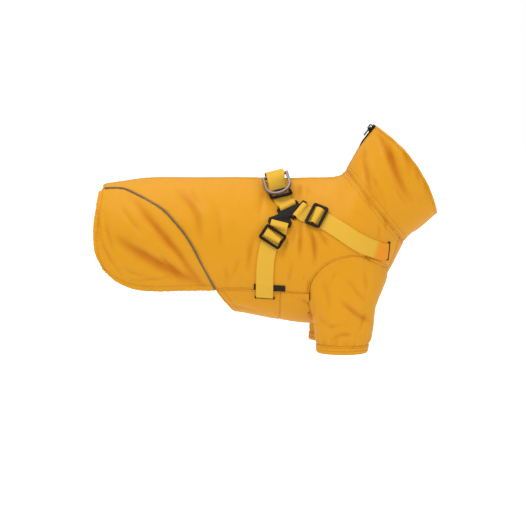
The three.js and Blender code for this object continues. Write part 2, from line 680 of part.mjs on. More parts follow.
// Place, direction and normal at a distance along a line of places.
function stationOn(line, distance) {
  const place = line.atRun(distance);
  const { point, out } = coatFrame(place);
  const along = coatPoint(line.atRun(distance + 0.5)).sub(coatPoint(line.atRun(distance - 0.5)));
  along.addScaledVector(out, -along.dot(out)).normalize();
  const across = new THREE.Vector3().crossVectors(along, out);
  return { place, point, out, along, across };
}

// Frame for a hard piece on a line: X across it, Y along it, Z away from the coat.
function frameOn(line, distance, height) {
  const { point, out, along, across } = stationOn(line, distance);
  const frame = new THREE.Matrix4().makeBasis(across, along, out);
  return frame.setPosition(point.addScaledVector(out, height));
}

function roundedOutline(Kind, width, length, corner) {
  const outline = new Kind();
  const x = width / 2;
  const y = length / 2;
  outline.moveTo(-x + corner, -y);
  outline.lineTo(x - corner, -y);
  outline.absarc(x - corner, -y + corner, corner, -Math.PI / 2, 0, false);
  outline.lineTo(x, y - corner);
  outline.absarc(x - corner, y - corner, corner, 0, Math.PI / 2, false);
  outline.lineTo(-x + corner, y);
  outline.absarc(-x + corner, y - corner, corner, Math.PI / 2, Math.PI, false);
  outline.lineTo(-x, -y + corner);
  outline.absarc(-x + corner, -y + corner, corner, Math.PI, 1.5 * Math.PI, false);
  return outline;
}

function windowHole(width, length, middleY) {
  const hole = new THREE.Path();
  hole.moveTo(-width / 2, middleY - length / 2);
  hole.lineTo(-width / 2, middleY + length / 2);
  hole.lineTo(width / 2, middleY + length / 2);
  hole.lineTo(width / 2, middleY - length / 2);
  return hole;
}

function extruded(shape, depth) {
  return new THREE.ExtrudeGeometry(shape, { depth, bevelEnabled: false, curveSegments: 3 });
}

// Three-bar slider: the webbing goes under both end bars and over the middle one.
const sliderShape = roundedOutline(THREE.Shape, SLIDER.width, SLIDER.length, SLIDER.corner);
const sliderWindow = (SLIDER.length - 2 * SLIDER.bar - SLIDER.middle) / 2;
for (const side of [-1, 1]) {
  const middleY = (side * (SLIDER.middle + sliderWindow)) / 2;
  sliderShape.holes.push(windowHole(SLIDER.width - 2 * SLIDER.bar, sliderWindow, middleY));
}

// Rectangular ring that joins the shoulder strap to the strap over the back.
const strapRingShape = roundedOutline(THREE.Shape, STRAP_RING.width, STRAP_RING.length, STRAP_RING.corner);
const ringWindow = STRAP_RING.length - 2 * STRAP_RING.bar;
strapRingShape.holes.push(windowHole(STRAP_RING.width - 2 * STRAP_RING.bar, ringWindow, 0));

// Three-way plate with a slotted bar for each strap: the direction the bar
// faces, its middle in the plate's own plane, and how far the edge that follows
// it is drawn in towards the plate's middle.
const plateBars = {
  shoulder: { toward: 118, x: 0, y: 8.8, waist: 0.45 },
  girth: { toward: -105, x: -8.9, y: -16.3, waist: 0.45 },
  chest: { toward: -36, x: 15.2, y: 1.6, waist: 0 },
};

function onBar({ toward, x, y }, outward, along) {
  const angle = THREE.MathUtils.degToRad(toward);
  const out = new THREE.Vector2(Math.cos(angle), Math.sin(angle));
  const side = new THREE.Vector2(-out.y, out.x);
  return new THREE.Vector2(x, y).addScaledVector(out, outward).addScaledVector(side, along);
}

function plateShape() {
  const edge = PLATE.bar / 2;
  const near = -edge;
  const far = near - PLATE.slot;
  const inner = far - PLATE.bar / 2;
  const bars = Object.values(plateBars);
  const shape = new THREE.Shape();
  bars.forEach((bar, i) => {
    const next = bars[(i + 1) % bars.length];
    const corners = [
      onBar(bar, inner, -PLATE.halfBar),
      onBar(bar, edge - PLATE_CORNER, -PLATE.halfBar),
      onBar(bar, edge, PLATE_CORNER - PLATE.halfBar),
      onBar(bar, edge, PLATE.halfBar - PLATE_CORNER),
      onBar(bar, edge - PLATE_CORNER, PLATE.halfBar),
      onBar(bar, inner, PLATE.halfBar),
    ];
    for (const { x, y } of corners) {
      if (i === 0 && x === corners[0].x) shape.moveTo(x, y);
      else shape.lineTo(x, y);
    }
    // a waist between this bar and the next
    const start = last(corners);
    const end = onBar(next, inner, -PLATE.halfBar);
    const pulled = start.clone().add(end).multiplyScalar((1 - bar.waist) / 2);
    shape.quadraticCurveTo(pulled.x, pulled.y, end.x, end.y);
    shape.holes.push(new THREE.Path([
      onBar(bar, near, -PLATE.halfSlot),
      onBar(bar, near, PLATE.halfSlot),
      onBar(bar, far, PLATE.halfSlot),
      onBar(bar, far, -PLATE.halfSlot),
    ]));
  });
  return shape;
}

const overBar = {
  flat: SLIDER.middle / 2 + 0.6,
  ramp: sliderWindow - 1,
  high: SLIDER.depth + WEBBING.wall + 2 * GAP + 0.6,
};

// The plate's place and directions on one flank.
function plateSeat(turn) {
  const place = turn(flankPlace(PLATE));
  const { point, out } = coatFrame(place);
  const forward = new THREE.Vector3(1, 0, 0).addScaledVector(out, -out.x).normalize();
  const upward = new THREE.Vector3(0, 0, 1).addScaledVector(out, -out.z);
  upward.addScaledVector(forward, -upward.dot(forward)).normalize();
  return { place, point, out, forward, upward };
}

function onPlate(bar, seat, outward) {
  const { x, y } = onBar(bar, outward, 0);
  return seat.forward.clone().multiplyScalar(x).addScaledVector(seat.upward, y);
}

// Places inside, on and outside a bar, where its strap starts.
function barPlaces(bar, seat) {
  return [-PLATE_BAR_AT, 0, PLATE_BAR_AT].map((outward) => walk(seat.place, onPlate(bar, seat, outward), 12));
}

// Line of a strap from its bar on the plate along its route, and the hump that
// brings it up through the slot and over the bar.
function strapFromPlate(bar, seat, further) {
  const line = alongPlaces([...barPlaces(bar, seat), ...further], 2);
  const barTop = seat.point.clone().add(onPlate(bar, seat, 0));
  barTop.addScaledVector(seat.out, CLOTH + GAP + PLATE_LIFT + PLATE.depth);
  const { point, out } = stationOn(line, PLATE_BAR_AT);
  const high = barTop.sub(point).dot(out) + BAR_CLEARANCE - CLOTH;
  // the coat curves away from the plate, so the webbing leans towards the bar
  const outward = onPlate(bar, seat, 1).sub(onPlate(bar, seat, 0));
  const lean = Math.max(0, out.dot(outward)) * (high + CLOTH);
  const foot = PLATE_BAR_AT - PLATE.bar / 2 - GAP - STEP_UP - lean;
  const hump = { at: PLATE_BAR_AT, flat: PLATE.bar / 2 + 0.5 + lean / 2, ramp: 3.6, high, foot };
  return { line, hump, from: hump.foot - WEBBING.wall + SLOT_TURN };
}

for (const [hand, turn] of HANDS) {
  const seat = plateSeat(turn);
  const overSpine = { s: -32, t: 0 };
  const toSpine = [...shoulderRoute.map(flankPlace), overSpine].map(turn);
  const shoulder = strapFromPlate(plateBars.shoulder, seat, toSpine);
  addWebbing(`shoulder_strap_${hand}`, shoulder.line, shoulder.from, STRAP_RING_AT - RING_BAR_GAP, {
    humps: [shoulder.hump],
  });
  const ringFrame = frameOn(shoulder.line, STRAP_RING_AT, HARDWARE_HEIGHT + STRAP_RING_LIFT[hand]);
  addPiece(`strap_ring_${hand}`, extruded(strapRingShape, STRAP_RING.depth), BLACK_PLASTIC, ringFrame);

  const girth = strapFromPlate(plateBars.girth, seat, girthRoute.map(flankPlace).map(turn));
  const girthTo = girth.line.total;
  const overLabel = { at: girthTo, flat: 17, ramp: 5, high: LABEL.wall + GAP + 0.1 };
  const overGirthBar = { ...overBar, at: GIRTH_SLIDER_AT, high: overBar.high + GIRTH_LIFT };
  addWebbing(`girth_strap_${hand}`, girth.line, girth.from, girthTo, {
    humps: [girth.hump, overGirthBar, overLabel],
  });
  const girthFrame = frameOn(girth.line, GIRTH_SLIDER_AT, HARDWARE_HEIGHT + GIRTH_LIFT);
  addPiece(`girth_slider_${hand}`, extruded(sliderShape, SLIDER.depth), BLACK_PLASTIC, girthFrame);

  const chest = strapFromPlate(plateBars.chest, seat, chestRoute.map(flankPlace).map(turn));
  const overChestBar = { ...overBar, at: CHEST_SLIDER_AT, high: overBar.high + CHEST_LIFT };
  addWebbing(`chest_strap_${hand}`, chest.line, chest.from, chest.line.total, {
    humps: [chest.hump, overChestBar],
  });
  const chestFrame = frameOn(chest.line, CHEST_SLIDER_AT, HARDWARE_HEIGHT + CHEST_LIFT);
  addPiece(`chest_slider_${hand}`, extruded(sliderShape, SLIDER.depth), BLACK_PLASTIC, chestFrame);

  // the left plate is the same one turned over
  const turned = hand === 'left';
  const faceUp = seat.out.clone().multiplyScalar(turned ? -1 : 1);
  const plateFrame = new THREE.Matrix4().makeBasis(seat.forward, seat.upward, faceUp);
  const plateHeight = CLOTH + GAP + PLATE_LIFT + (turned ? PLATE.depth : 0);
  const plateAt = seat.point.clone().addScaledVector(seat.out, plateHeight);
  plateFrame.setPosition(plateAt);
  addPiece(`strap_plate_${hand}`, extruded(plateShape(), PLATE.depth), BLACK_PLASTIC, plateFrame);
}

// Strap over the back, lifted into a loop round the bar of the lead ring.
const overBack = shoulderRoute.map(flankPlace);
const rightEnd = barPlaces(plateBars.shoulder, plateSeat(HANDS[0][1]));
const leftEnd = barPlaces(plateBars.shoulder, plateSeat(HANDS[1][1]));
const backLine = alongPlaces([
  ...rightEnd,
  ...overBack,
  { s: -32, t: 0 },
  ...[...overBack].reverse().map(mirrored),
  ...leftEnd.reverse(),
], 2);
const leadRingAt = backLine.total / 2 - LEAD_RING.fromSpine;
const loop = { ...RING_LOOP, at: leadRingAt, tilt: LEAD_RING.tilt };
const backFrom = STRAP_RING_AT + RING_BAR_GAP;
addWebbing('back_strap', backLine, backFrom, backLine.total - backFrom, { humps: [loop] });

// Lead ring: a flat-sided D whose straight bar lies inside that loop.
function leadRingShape() {
  const half = LEAD_RING.inner / 2 + LEAD_RING.wire;
  const outline = (Kind, grow) => {
    const shape = new Kind();
    const radius = half - LEAD_RING.wire + grow;
    const straightEnd = LEAD_RING.bow - half;
    shape.moveTo(-radius, LEAD_RING.wire / 2 - grow);
    shape.lineTo(radius, LEAD_RING.wire / 2 - grow);
    shape.lineTo(radius, straightEnd);
    shape.absarc(0, straightEnd, radius, 0, Math.PI, false);
    return shape;
  };
  const ring = outline(THREE.Shape, LEAD_RING.wire);
  ring.holes.push(outline(THREE.Path, 0));
  return ring;
}
const leadRingGeometry = new THREE.ExtrudeGeometry(leadRingShape(), {
  depth: LEAD_RING.wire - 2 * LEAD_RING.bevel,
  bevelEnabled: true,
  bevelThickness: LEAD_RING.bevel,
  bevelSize: LEAD_RING.bevel,
  bevelOffset: -LEAD_RING.bevel,
  bevelSegments: 1,
  curveSegments: 16,
});
leadRingGeometry.translate(0, 0, LEAD_RING.bevel - LEAD_RING.wire / 2);
const ringSeat = stationOn(backLine, leadRingAt);
const barAxis = ringSeat.across.clone().multiplyScalar(Math.sign(ringSeat.across.x));
barAxis.addScaledVector(ringSeat.out, LEAD_RING.tilt).normalize();
const barHeight = CLOTH + loop.high - LEAD_RING.wire / 2 - LEAD_RING.play;
const barMiddle = ringSeat.point.clone().addScaledVector(ringSeat.out, barHeight);
const restHeight = HARDWARE_HEIGHT + STRAP_RING.depth + LEAD_RING.wire / 2 + RING_LOOP.leadRingRest;
const restPoint = overCoat(backLine.atRun(leadRingAt - LEAD_RING.inner), restHeight);
const hang = restPoint.sub(barMiddle);
hang.addScaledVector(barAxis, -hang.dot(barAxis)).normalize();
const leadFrame = new THREE.Matrix4().makeBasis(barAxis, hang, new THREE.Vector3().crossVectors(barAxis, hang));
addPiece('lead_ring', leadRingGeometry, STEEL, leadFrame.setPosition(barMiddle));

// Zip slider at the top of the nape: a body with a neck between the edges,
// and an arch that holds the hub of its pull tab.
const wasm = await Module();
wasm.setup();

function toSolid(geometry) {
  const bare = geometry.clone();
  bare.deleteAttribute('normal');
  bare.deleteAttribute('uv');
  const merged = mergeVertices(bare, 1e-4);
  const triangles = new Uint32Array(merged.index.array);
  const positions = merged.attributes.position.array;
  return new wasm.Manifold(new wasm.Mesh({ numProp: 3, vertProperties: positions, triVerts: triangles }));
}

function toGeometry(solid) {
  const { vertProperties, triVerts } = solid.getMesh();
  const geometry = new THREE.BufferGeometry();
  geometry.setAttribute('position', new THREE.Float32BufferAttribute(vertProperties, 3));
  geometry.setIndex([...triVerts]);
  geometry.computeVertexNormals();
  return geometry;
}

function outlineOf(Kind, points) {
  return new Kind(points.map(([x, y]) => new THREE.Vector2(x, y)));
}

const bodyFrom = CLOTH + GAP;
const bodyTop = bodyFrom + ZIP_SLIDER.height;
const halfBody = ZIP_SLIDER.width / 2;
const halfNeck = ZIP_SLIDER.neck / 2;
const sliderProfile = outlineOf(THREE.Shape, [
  [-halfNeck, -ZIP_SLIDER.neckDrop],
  [halfNeck, -ZIP_SLIDER.neckDrop],
  [halfNeck, bodyFrom],
  [halfBody, bodyFrom],
  [halfBody, bodyTop - CHAMFER],
  [halfBody - CHAMFER, bodyTop],
  [CHAMFER - halfBody, bodyTop],
  [-halfBody, bodyTop - CHAMFER],
  [-halfBody, bodyFrom],
  [-halfNeck, bodyFrom],
]);
const sliderBody = extruded(sliderProfile, ZIP_SLIDER.length);
sliderBody.rotateX(Math.PI / 2);
sliderBody.translate(0, ZIP_SLIDER.length / 2, 0);
const halfArch = ZIP_ARCH.length / 2;
const archTop = bodyTop + ZIP_ARCH.height;
const archProfile = outlineOf(THREE.Shape, [
  [-halfArch, bodyTop - ZIP_ARCH.root],
  [ZIP_ARCH.wall - halfArch, bodyTop - ZIP_ARCH.root],
  [ZIP_ARCH.wall - halfArch, archTop - ZIP_ARCH.wall],
  [halfArch - ZIP_ARCH.wall, archTop - ZIP_ARCH.wall],
  [halfArch - ZIP_ARCH.wall, bodyTop - ZIP_ARCH.root],
  [halfArch, bodyTop - ZIP_ARCH.root],
  [halfArch, archTop - CHAMFER],
  [halfArch - CHAMFER, archTop],
  [CHAMFER - halfArch, archTop],
  [-halfArch, archTop - CHAMFER],
]);
const arch = extruded(archProfile, ZIP_ARCH.width);
arch.rotateX(Math.PI / 2);
arch.rotateZ(Math.PI / 2);
arch.translate(-ZIP_ARCH.width / 2, 0, 0);
const zipReach = RIM - ZIP_SLIDER.at;
const zipLine = alongPlaces([-zipReach, 0, zipReach].map((ahead) => ({ s: ZIP_SLIDER.at + ahead, t: 0 })), 2);
const zipFrame = frameOn(zipLine, zipLine.total / 2, 0);
addPiece('zip_slider', toGeometry(toSolid(sliderBody).add(toSolid(arch))), BLACK_PLASTIC, zipFrame);

const pullShape = roundedOutline(THREE.Shape, ZIP_PULL.width, ZIP_PULL.length, ZIP_PULL.corner);
const slotMiddle = ZIP_PULL.length / 2 - ZIP_PULL.wall - ZIP_PULL.slotLength / 2;
pullShape.holes.push(windowHole(ZIP_PULL.slotWidth, ZIP_PULL.slotLength, slotMiddle));
const pull = extruded(pullShape, ZIP_PULL.wall);
pull.translate(0, (ZIP_PULL.wall - ZIP_PULL.length) / 2, -ZIP_PULL.wall / 2);
const hubHeight = bodyTop + (ZIP_ARCH.height - ZIP_ARCH.wall) / 2;
addPiece('zip_pull', pull, BLACK_PLASTIC, frameOn(zipLine, zipLine.total / 2, hubHeight));

// Straps that go on inside the coat, under the belly and across the chest.
const insideBand = { base: -(2 * GAP + BAND_WALL), wall: BAND_WALL };
const girthEnd = flankPlace(last(girthRoute));
const girthInside = [girthEnd, { s: -36, t: 1 }, underMirrored(girthEnd)];
const girthInsideLine = alongPlaces(girthInside, 2);
addWebbing('inner_girth_strap', girthInsideLine, 0, girthInsideLine.total, insideBand);
const chestEnd = flankPlace(last(chestRoute));
const chestInsideLine = alongPlaces([chestEnd, { s: 74, t: 1 }, underMirrored(chestEnd)], 2);
addWebbing('inner_chest_strap', chestInsideLine, 0, chestInsideLine.total, insideBand);

export default coat;
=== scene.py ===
import bpy
import numpy as np
from math import radians
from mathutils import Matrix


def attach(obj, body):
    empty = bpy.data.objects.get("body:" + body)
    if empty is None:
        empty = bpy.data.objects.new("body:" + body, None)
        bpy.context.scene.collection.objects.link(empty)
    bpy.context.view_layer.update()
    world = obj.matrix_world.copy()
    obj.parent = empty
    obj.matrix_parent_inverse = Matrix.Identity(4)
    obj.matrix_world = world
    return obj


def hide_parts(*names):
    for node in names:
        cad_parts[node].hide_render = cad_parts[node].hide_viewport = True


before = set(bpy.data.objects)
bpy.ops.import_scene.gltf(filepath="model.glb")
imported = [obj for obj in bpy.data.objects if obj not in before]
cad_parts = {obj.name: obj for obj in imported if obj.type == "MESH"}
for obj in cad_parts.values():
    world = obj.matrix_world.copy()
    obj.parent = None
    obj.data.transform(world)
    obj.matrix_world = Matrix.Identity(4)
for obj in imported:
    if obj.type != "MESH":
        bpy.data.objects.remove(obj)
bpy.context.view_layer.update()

# The studio: a pale floor well below the coat, which hangs at the height it
# has on its wearer, an even white surround, soft lights over the tail, above
# and at the collar, and the camera level with the right flank, looking a
# little down.
FLOOR = {"size": 14, "below": 0.36}
GLOW_WHITE = (1, 1, 1, 1)
CAMERA = {"place": (-0.0437, -1.9851, 0.1457), "tilt": 83, "view": 17.64}


def plain_material(name):
    """New material, its node tree and its shader."""
    material = bpy.data.materials.new(name)
    material.use_nodes = True
    return material, material.node_tree, material.node_tree.nodes["Principled BSDF"]


bpy.ops.object.select_all(action="DESELECT")
bpy.ops.mesh.primitive_plane_add(size=FLOOR["size"], location=(0, 0, -FLOOR["below"]))
floor = bpy.context.object
floor.name = "floor"
floor_paint, floor_tree, floor_shader = plain_material("floor_paint")
floor_shader.inputs["Base Color"].default_value = (0.9, 0.9, 0.9, 1)
floor_shader.inputs["Roughness"].default_value = 0.9
floor_shader.inputs["Emission Color"].default_value = GLOW_WHITE
floor.data.materials.append(floor_paint)


def brighter_seen(tree, lighting, seen, socket):
    """Strength of a glow: what it gives as light, and how bright it looks itself."""
    path = tree.nodes.new("ShaderNodeLightPath")
    strength = tree.nodes.new("ShaderNodeMapRange")
    strength.inputs["To Min"].default_value = lighting
    strength.inputs["To Max"].default_value = seen
    tree.links.new(path.outputs["Is Camera Ray"], strength.inputs["Value"])
    tree.links.new(strength.outputs[0], socket)


brighter_seen(floor_tree, 0.18, 0.7, floor_shader.inputs["Emission Strength"])
studio = bpy.data.worlds.new("studio")
studio.use_nodes = True
studio_light = studio.node_tree.nodes["Background"]
studio_light.inputs["Color"].default_value = GLOW_WHITE
brighter_seen(studio.node_tree, 0.72, 1.0, studio_light.inputs["Strength"])
bpy.context.scene.world = studio
bpy.context.scene.view_settings.view_transform = "Standard"
for light_name, place, aim, width, watts in (
    ("key_light", (-0.75, -1.15, 1.75), (38, 0, -30), 0.7, 20),
    ("top_light", (-0.3, 0.3, 1.6), (0, 0, 0), 0.8, 8),
    ("front_light", (1.3, -1.0, 0.4), (75, 0, 55), 0.7, 4),
):
    turn = [radians(angle) for angle in aim]
    bpy.ops.object.light_add(type="AREA", location=place, rotation=turn)
    light = bpy.context.object
    light.name = light_name
    light.data.size = width
    light.data.energy = watts

bpy.ops.object.camera_add(location=CAMERA["place"], rotation=(radians(CAMERA["tilt"]), 0, 0))
camera = bpy.context.object
camera.data.angle = radians(CAMERA["view"])
bpy.context.scene.camera = camera

# Side panels, each one cut of coated woven shell from the back zip to the
# belly seam and over the armhole. They lie on the rings of the worn body and
# fall into folds towards the flank, with a turned-in seam all round.
MM = 0.001
CLOTH = 1.5
SHELL_WALL = CLOTH - 0.1
SEAM_GAP = 0.06
HALF_ZIP_OPENING = 3.2
TAIL_END = -231
RIM = 140
FOLD_GAIN = 1.35
# fold depth in mm at which the painted shade in the folds is full
DEEP_FOLD = 3.6
SHELL_COLOUR = (0.65, 0.285, 0.0075)
# painted shade: the shell's colour goes towards this in its folds, and a little at random
FOLD_SHADE_COLOUR = (0.52, 0.165, 0.0015)
HANDS = (("right", 1), ("left", -1))

# rings of the worn body: station, spine and keel in side view, half the width,
# how low it is widest, how square its roof and keel are, and its forward bow
ring_names = "at back_x back_z low_x low_z half wide roof keel bow".split()
body_rings = np.array([
    (-250, -250, -10, -250, -150, 39, 0.5, 0.1, 0.2, 0),
    (-233, -233, -6, -233, -150, 46, 0.5, 0.1, 0.2, 0),
    (-211, -211, -3, -211, -151, 52, 0.5, 0.1, 0.2, 0),
    (-176, -176, 1.4, -176, -152, 57, 0.5, 0.1, 0.2, 0),
    (-118, -118, 1.6, -118, -152, 60, 0.5, 0, 0.2, 0),
    (-72, -72, 1.9, -74, -154, 61, 0.51, -0.35, 0.2, 0),
    (-24, -24, 1.9, -24, -163, 63, 0.53, -0.75, 0.2, 0),
    (11, 11, 1.9, 20, -167, 65, 0.52, -0.6, 0.15, 0),
    (38, 35, 1.9, 58, -157, 65.5, 0.5, -0.4, 0.1, 0),
    (60, 47, 4, 88, -131, 62, 0.47, -0.2, 0, 0),
    (71, 51, 7, 106, -101, 56, 0.47, -0.1, 0, 0),
    (80, 55, 12, 122, -70, 50, 0.48, 0, 0, 0),
    (108, 69, 36, 139.5, -55, 47, 0.5, 0.1, 0.1, 3),
    (140, 89, 63, 159, -38, 50, 0.5, 0.1, 0.1, 11),
], dtype=float)

# edges of the cut pieces in side view, x and z
rear_hem = [(-234, -12), (-236.5, -31), (-239, -55), (-237, -80), (-228, -100)]
skirt_hem = [(-228, -100), (-214, -113), (-197, -121), (-179, -124.5), (-139, -124), (-98, -123.5)]
piping_line = [
    (-230, -9.5), (-207, -9), (-190, -14.5), (-173, -22.5), (-157, -32), (-145, -44),
    (-133, -58), (-123, -74), (-114, -92), (-105, -109), (-98, -123.5),
]
belly_seam = [(-98, -123.5), (-79, -121.5), (-57, -122), (-24, -124.5)]
rib_seam = [(-24, -124.5), (9, -126)]
armhole_over = [
    (9, -126), (12, -112), (20, -100), (31, -91), (44, -85.5), (57, -83),
    (70, -83.5), (83, -87.5), (94, -93.5), (101.5, -99),
]
front_seam = [(101.5, -99), (106, -90), (110.5, -78), (114.5, -64.5)]
armhole_under = [(11, -44), (20, -31), (36, -20.5), (54, -18), (72, -16), (87, -16)]

# folds in side view: start, bend, end, half the width, depth, and the height
# of the swell beside them
coat_folds = [
    (-190, -24, -146, -70, -115, -116, 9, 3.0, 0.9),
    (-212, -62, -172, -90, -114, -117, 12, 3.4, 0.9),
    (-146, -8, -112, -28, -116, -66, 9, 1.8, 0.5),
    (-54, -60, -60, -78, -61, -100, 7, 1.7, 0.5),
    (0, -44, -2, -62, -2, -86, 5, 2.2, 0.6),
    (9, -50, 17, -68, 15, -92, 5.5, 2.4, 0.8),
    (1, 0, -3, -10, -3, -24, 5, 1.6, 0.4),
    (101, 47, 99, 22, 124, -20, 9, 3.0, 0.9),
    (72, 32, 74, 6, 84, -22, 6, 1.9, 0.6),
    (73, 38, 74, 33, 75, 27, 3, 0.9, 0.3),
    (75, -17, 78, -24, 82, -31, 3.5, 1.1, 0.4),
    (129, 24, 133, 8, 136, -5, 5, 1.3, 0.4),
    (26, -61, 31, -64, 37, -69, 3, 0.9, 0.3),
    (89, -48, 90, -57, 89, -66, 4, 1.2, 0.4),
    (8, -5, 9, -11, 9, -19, 5, 0.9, 0.2),
    (9, -107, 8, -118, 8, -131, 4, 1.1, 0.3),
    (5, -104, 3, -108, 1, -113, 3, 0.8, 0.2),
    (-205, -98, -190, -106, -170, -109, 5, 1.0, 0.4),
    (-226, -40, -222, -60, -215, -84, 6, 1.0, 0.4),
    (-88, -92, -84, -104, -86, -117, 5, 0.9, 0.3),
    (-168, -60, -150, -78, -140, -102, 5, 0.9, 0.4),
    (-6, -48, -8, -60, -14, -74, 5, 1.6, 0.5),
    (-12, -54, -18, -66, -21, -84, 4.5, 1.2, 0.4),
    (17, -52, 26, -62, 33, -76, 5, 1.3, 0.4),
    (80, 8, 92, -10, 98, -34, 5, 1.5, 0.5),
    (84, 2, 84, -12, 92, -28, 3.5, 1.1, 0.4),
    (112, 44, 122, 24, 134, 6, 5, 1.1, 0.4),
    (104, 0, 112, -14, 122, -30, 4.5, 1.0, 0.4),
    (96, -36, 98, -48, 97, -58, 4, 1.0, 0.3),
    (-128, -6, -120, -20, -108, -34, 7, 1.0, 0.4),
    (-96, -30, -92, -52, -92, -76, 8, 0.9, 0.3),
    (-70, -84, -76, -100, -84, -114, 6, 0.9, 0.3),
    (-10, -90, -12, -102, -16, -116, 5, 1.0, 0.3),
    (-206, -30, -196, -44, -182, -58, 5, 0.9, 0.3),
    (-40, -6, -46, -22, -48, -40, 6, 0.9, 0.3),
]
# shoulder, girth and chest strap, plate and label in side view
strap_routes = [
    [(-16, -27), (-24, -17), (-29, -7), (-32, 4)],
    [(-25, -49), (-31.3, -59.6), (-36.5, -69), (-40.5, -88), (-41.5, -110), (-41.5, -132)],
    [(-1, -34), (19.5, -40), (45, -54), (62, -65), (78, -73), (99, -79)],
    [(-25, -49), (-16, -28), (-1, -34), (-25, -49)],
    [(-56, -117), (-36, -118), (-16, -119)],
]


def smooth_column(table, column, at):
    """Smooth curve through one column of a table whose first column is its station."""
    keys, values = table[:, 0], table[:, column]
    after = np.minimum(np.arange(len(keys)) + 1, len(keys) - 1)
    before = np.maximum(np.arange(len(keys)) - 1, 0)
    slopes = (values[after] - values[before]) / (keys[after] - keys[before])
    k = np.searchsorted(keys[1:-1], at, side="left")
    span = keys[k + 1] - keys[k]
    u = (at - keys[k]) / span
    w = u * u * (3 - 2 * u)
    leave = slopes[k] * span * u * (1 - u) ** 2
    arrive = slopes[k + 1] * span * u * u * (1 - u)
    return values[k] * (1 - w) + values[k + 1] * w + leave - arrive


def body_point(places):
    """Points of the coat's inner face, in mm. A place is a station along the
    coat and a turn round it: 0 on the spine, 1 under the belly."""
    s, turn = places[..., 0], np.pi * places[..., 1]
    at = {name: smooth_column(body_rings, i, s) for i, name in enumerate(ring_names)}
    down = (1 - np.cos(turn)) / 2
    side = np.sin(turn)
    share = down + (at["wide"] - 0.5) * side**2
    square = at["roof"] + (at["keel"] - at["roof"]) * down
    delta_x = at["low_x"] - at["back_x"]
    delta_z = at["low_z"] - at["back_z"]
    ahead = at["bow"] * side**2 / np.hypot(delta_x, delta_z)
    return np.stack([
        at["back_x"] + delta_x * share - delta_z * ahead,
        -at["half"] * side * (1 + square * (1 - np.abs(side))),
        at["back_z"] + delta_z * share + delta_x * ahead,
    ], -1)


def unit(vectors):
    return vectors / np.maximum(np.linalg.norm(vectors, axis=-1, keepdims=True), 1e-9)


def body_frame(places):
    """Point, the two directions and the outward normal at places."""
    step_s, step_t = np.array([0.5, 0]), np.array([0, 0.004])
    along_s = body_point(places + step_s) - body_point(places - step_s)
    along_t = (body_point(places + step_t) - body_point(places - step_t)) / 0.008
    return body_point(places), along_s, along_t, unit(np.cross(along_t, along_s))


def skin_at(places):
    """Points and outward normals of the coat's inner face."""
    point, _along_s, _along_t, out = body_frame(places)
    return point, out


def places_at(wanted, axes, guess):
    """Places of points that are known by two of their coordinates."""
    a, b = axes
    here = np.array(guess, dtype=float)
    for _ in range(30):
        point, along_s, along_t, _out = body_frame(here)
        miss_a, miss_b = wanted[..., 0] - point[..., a], wanted[..., 1] - point[..., b]
        det = along_s[..., a] * along_t[..., b] - along_s[..., b] * along_t[..., a]
        step_s = (miss_a * along_t[..., b] - miss_b * along_t[..., a]) / det
        step_t = (along_s[..., a] * miss_b - along_s[..., b] * miss_a) / det
        here += np.stack([np.clip(step_s, -15, 15), np.clip(step_t, -0.05, 0.05)], -1)
    return here


def flank_places(points):
    wanted = np.array(points, dtype=float)
    turn = np.where(wanted[:, 0] > 90, 0.8, 0.45)
    return places_at(wanted, (0, 2), np.stack([np.minimum(wanted[:, 0], 76), turn], -1))


def through(places, count):
    """Evenly spaced places on a smooth line through a few places."""
    knots = np.array(places) * [1, 100]
    knots = np.vstack([2 * knots[0] - knots[1], knots, 2 * knots[-1] - knots[-2]])
    fine = []
    for p0, p1, p2, p3 in zip(knots, knots[1:], knots[2:], knots[3:]):
        d0, d1, d2 = (np.linalg.norm(b - a) ** 0.5 for a, b in ((p0, p1), (p1, p2), (p2, p3)))
        m1 = ((p1 - p0) / d0 - (p2 - p0) / (d0 + d1) + (p2 - p1) / d1) * d1
        m2 = ((p2 - p1) / d1 - (p3 - p1) / (d1 + d2) + (p3 - p2) / d2) * d1
        u = np.linspace(0, 1, 60, endpoint=False)[:, None]
        bend = (3 * (p2 - p1) - 2 * m1 - m2) * u**2
        fine.append(p1 + m1 * u + bend + (2 * (p1 - p2) + m1 + m2) * u**3)
    fine = np.vstack(fine + [knots[-2:-1]]) / [1, 100]
    return spread(fine, count)


def run_along(points):
    steps = np.linalg.norm(np.diff(points, axis=0), axis=-1)
    return np.concatenate([np.zeros((1,) + steps.shape[1:]), np.cumsum(steps, axis=0)])


def run_across(points):
    return run_along(points.swapaxes(0, 1)).swapaxes(0, 1)


def read_off(at, run, rows):
    """Rows that belong to distances along a line, read off at other distances."""
    return np.stack([np.interp(at, run, column) for column in rows.T], -1)


def spread(fine, count):
    run = run_along(body_point(fine))
    return read_off(np.linspace(0, run[-1], count + 1), run, fine)


def joined(*lines):
    return np.vstack([lines[0]] + [line[1:] for line in lines[1:]])


def straight(a, b, count):
    return np.linspace(a, b, count + 1)


def beside_spine(s, distance):
    s = np.asarray(s, dtype=float)
    start = np.stack([s, np.full_like(s, 0.01)], -1)
    _point, _along_s, along_t, _out = body_frame(start)
    return np.stack([s, distance / np.linalg.norm(along_t, axis=-1)], -1)


def packed(length, count):
    """Shares along an edge, closer together near its ends, where the seams are."""
    near = np.array([0, 0.5, 1.0, 1.6, 2.2, 2.9, 3.8, 5.0, 6.5]) / length
    middle = np.linspace(near[-1], 1 - near[-1], count)
    return np.concatenate([near[:-1], middle, 1 - near[-2::-1]])


def resampled(edge, shares):
    return read_off(shares, np.linspace(0, 1, len(edge)), edge)


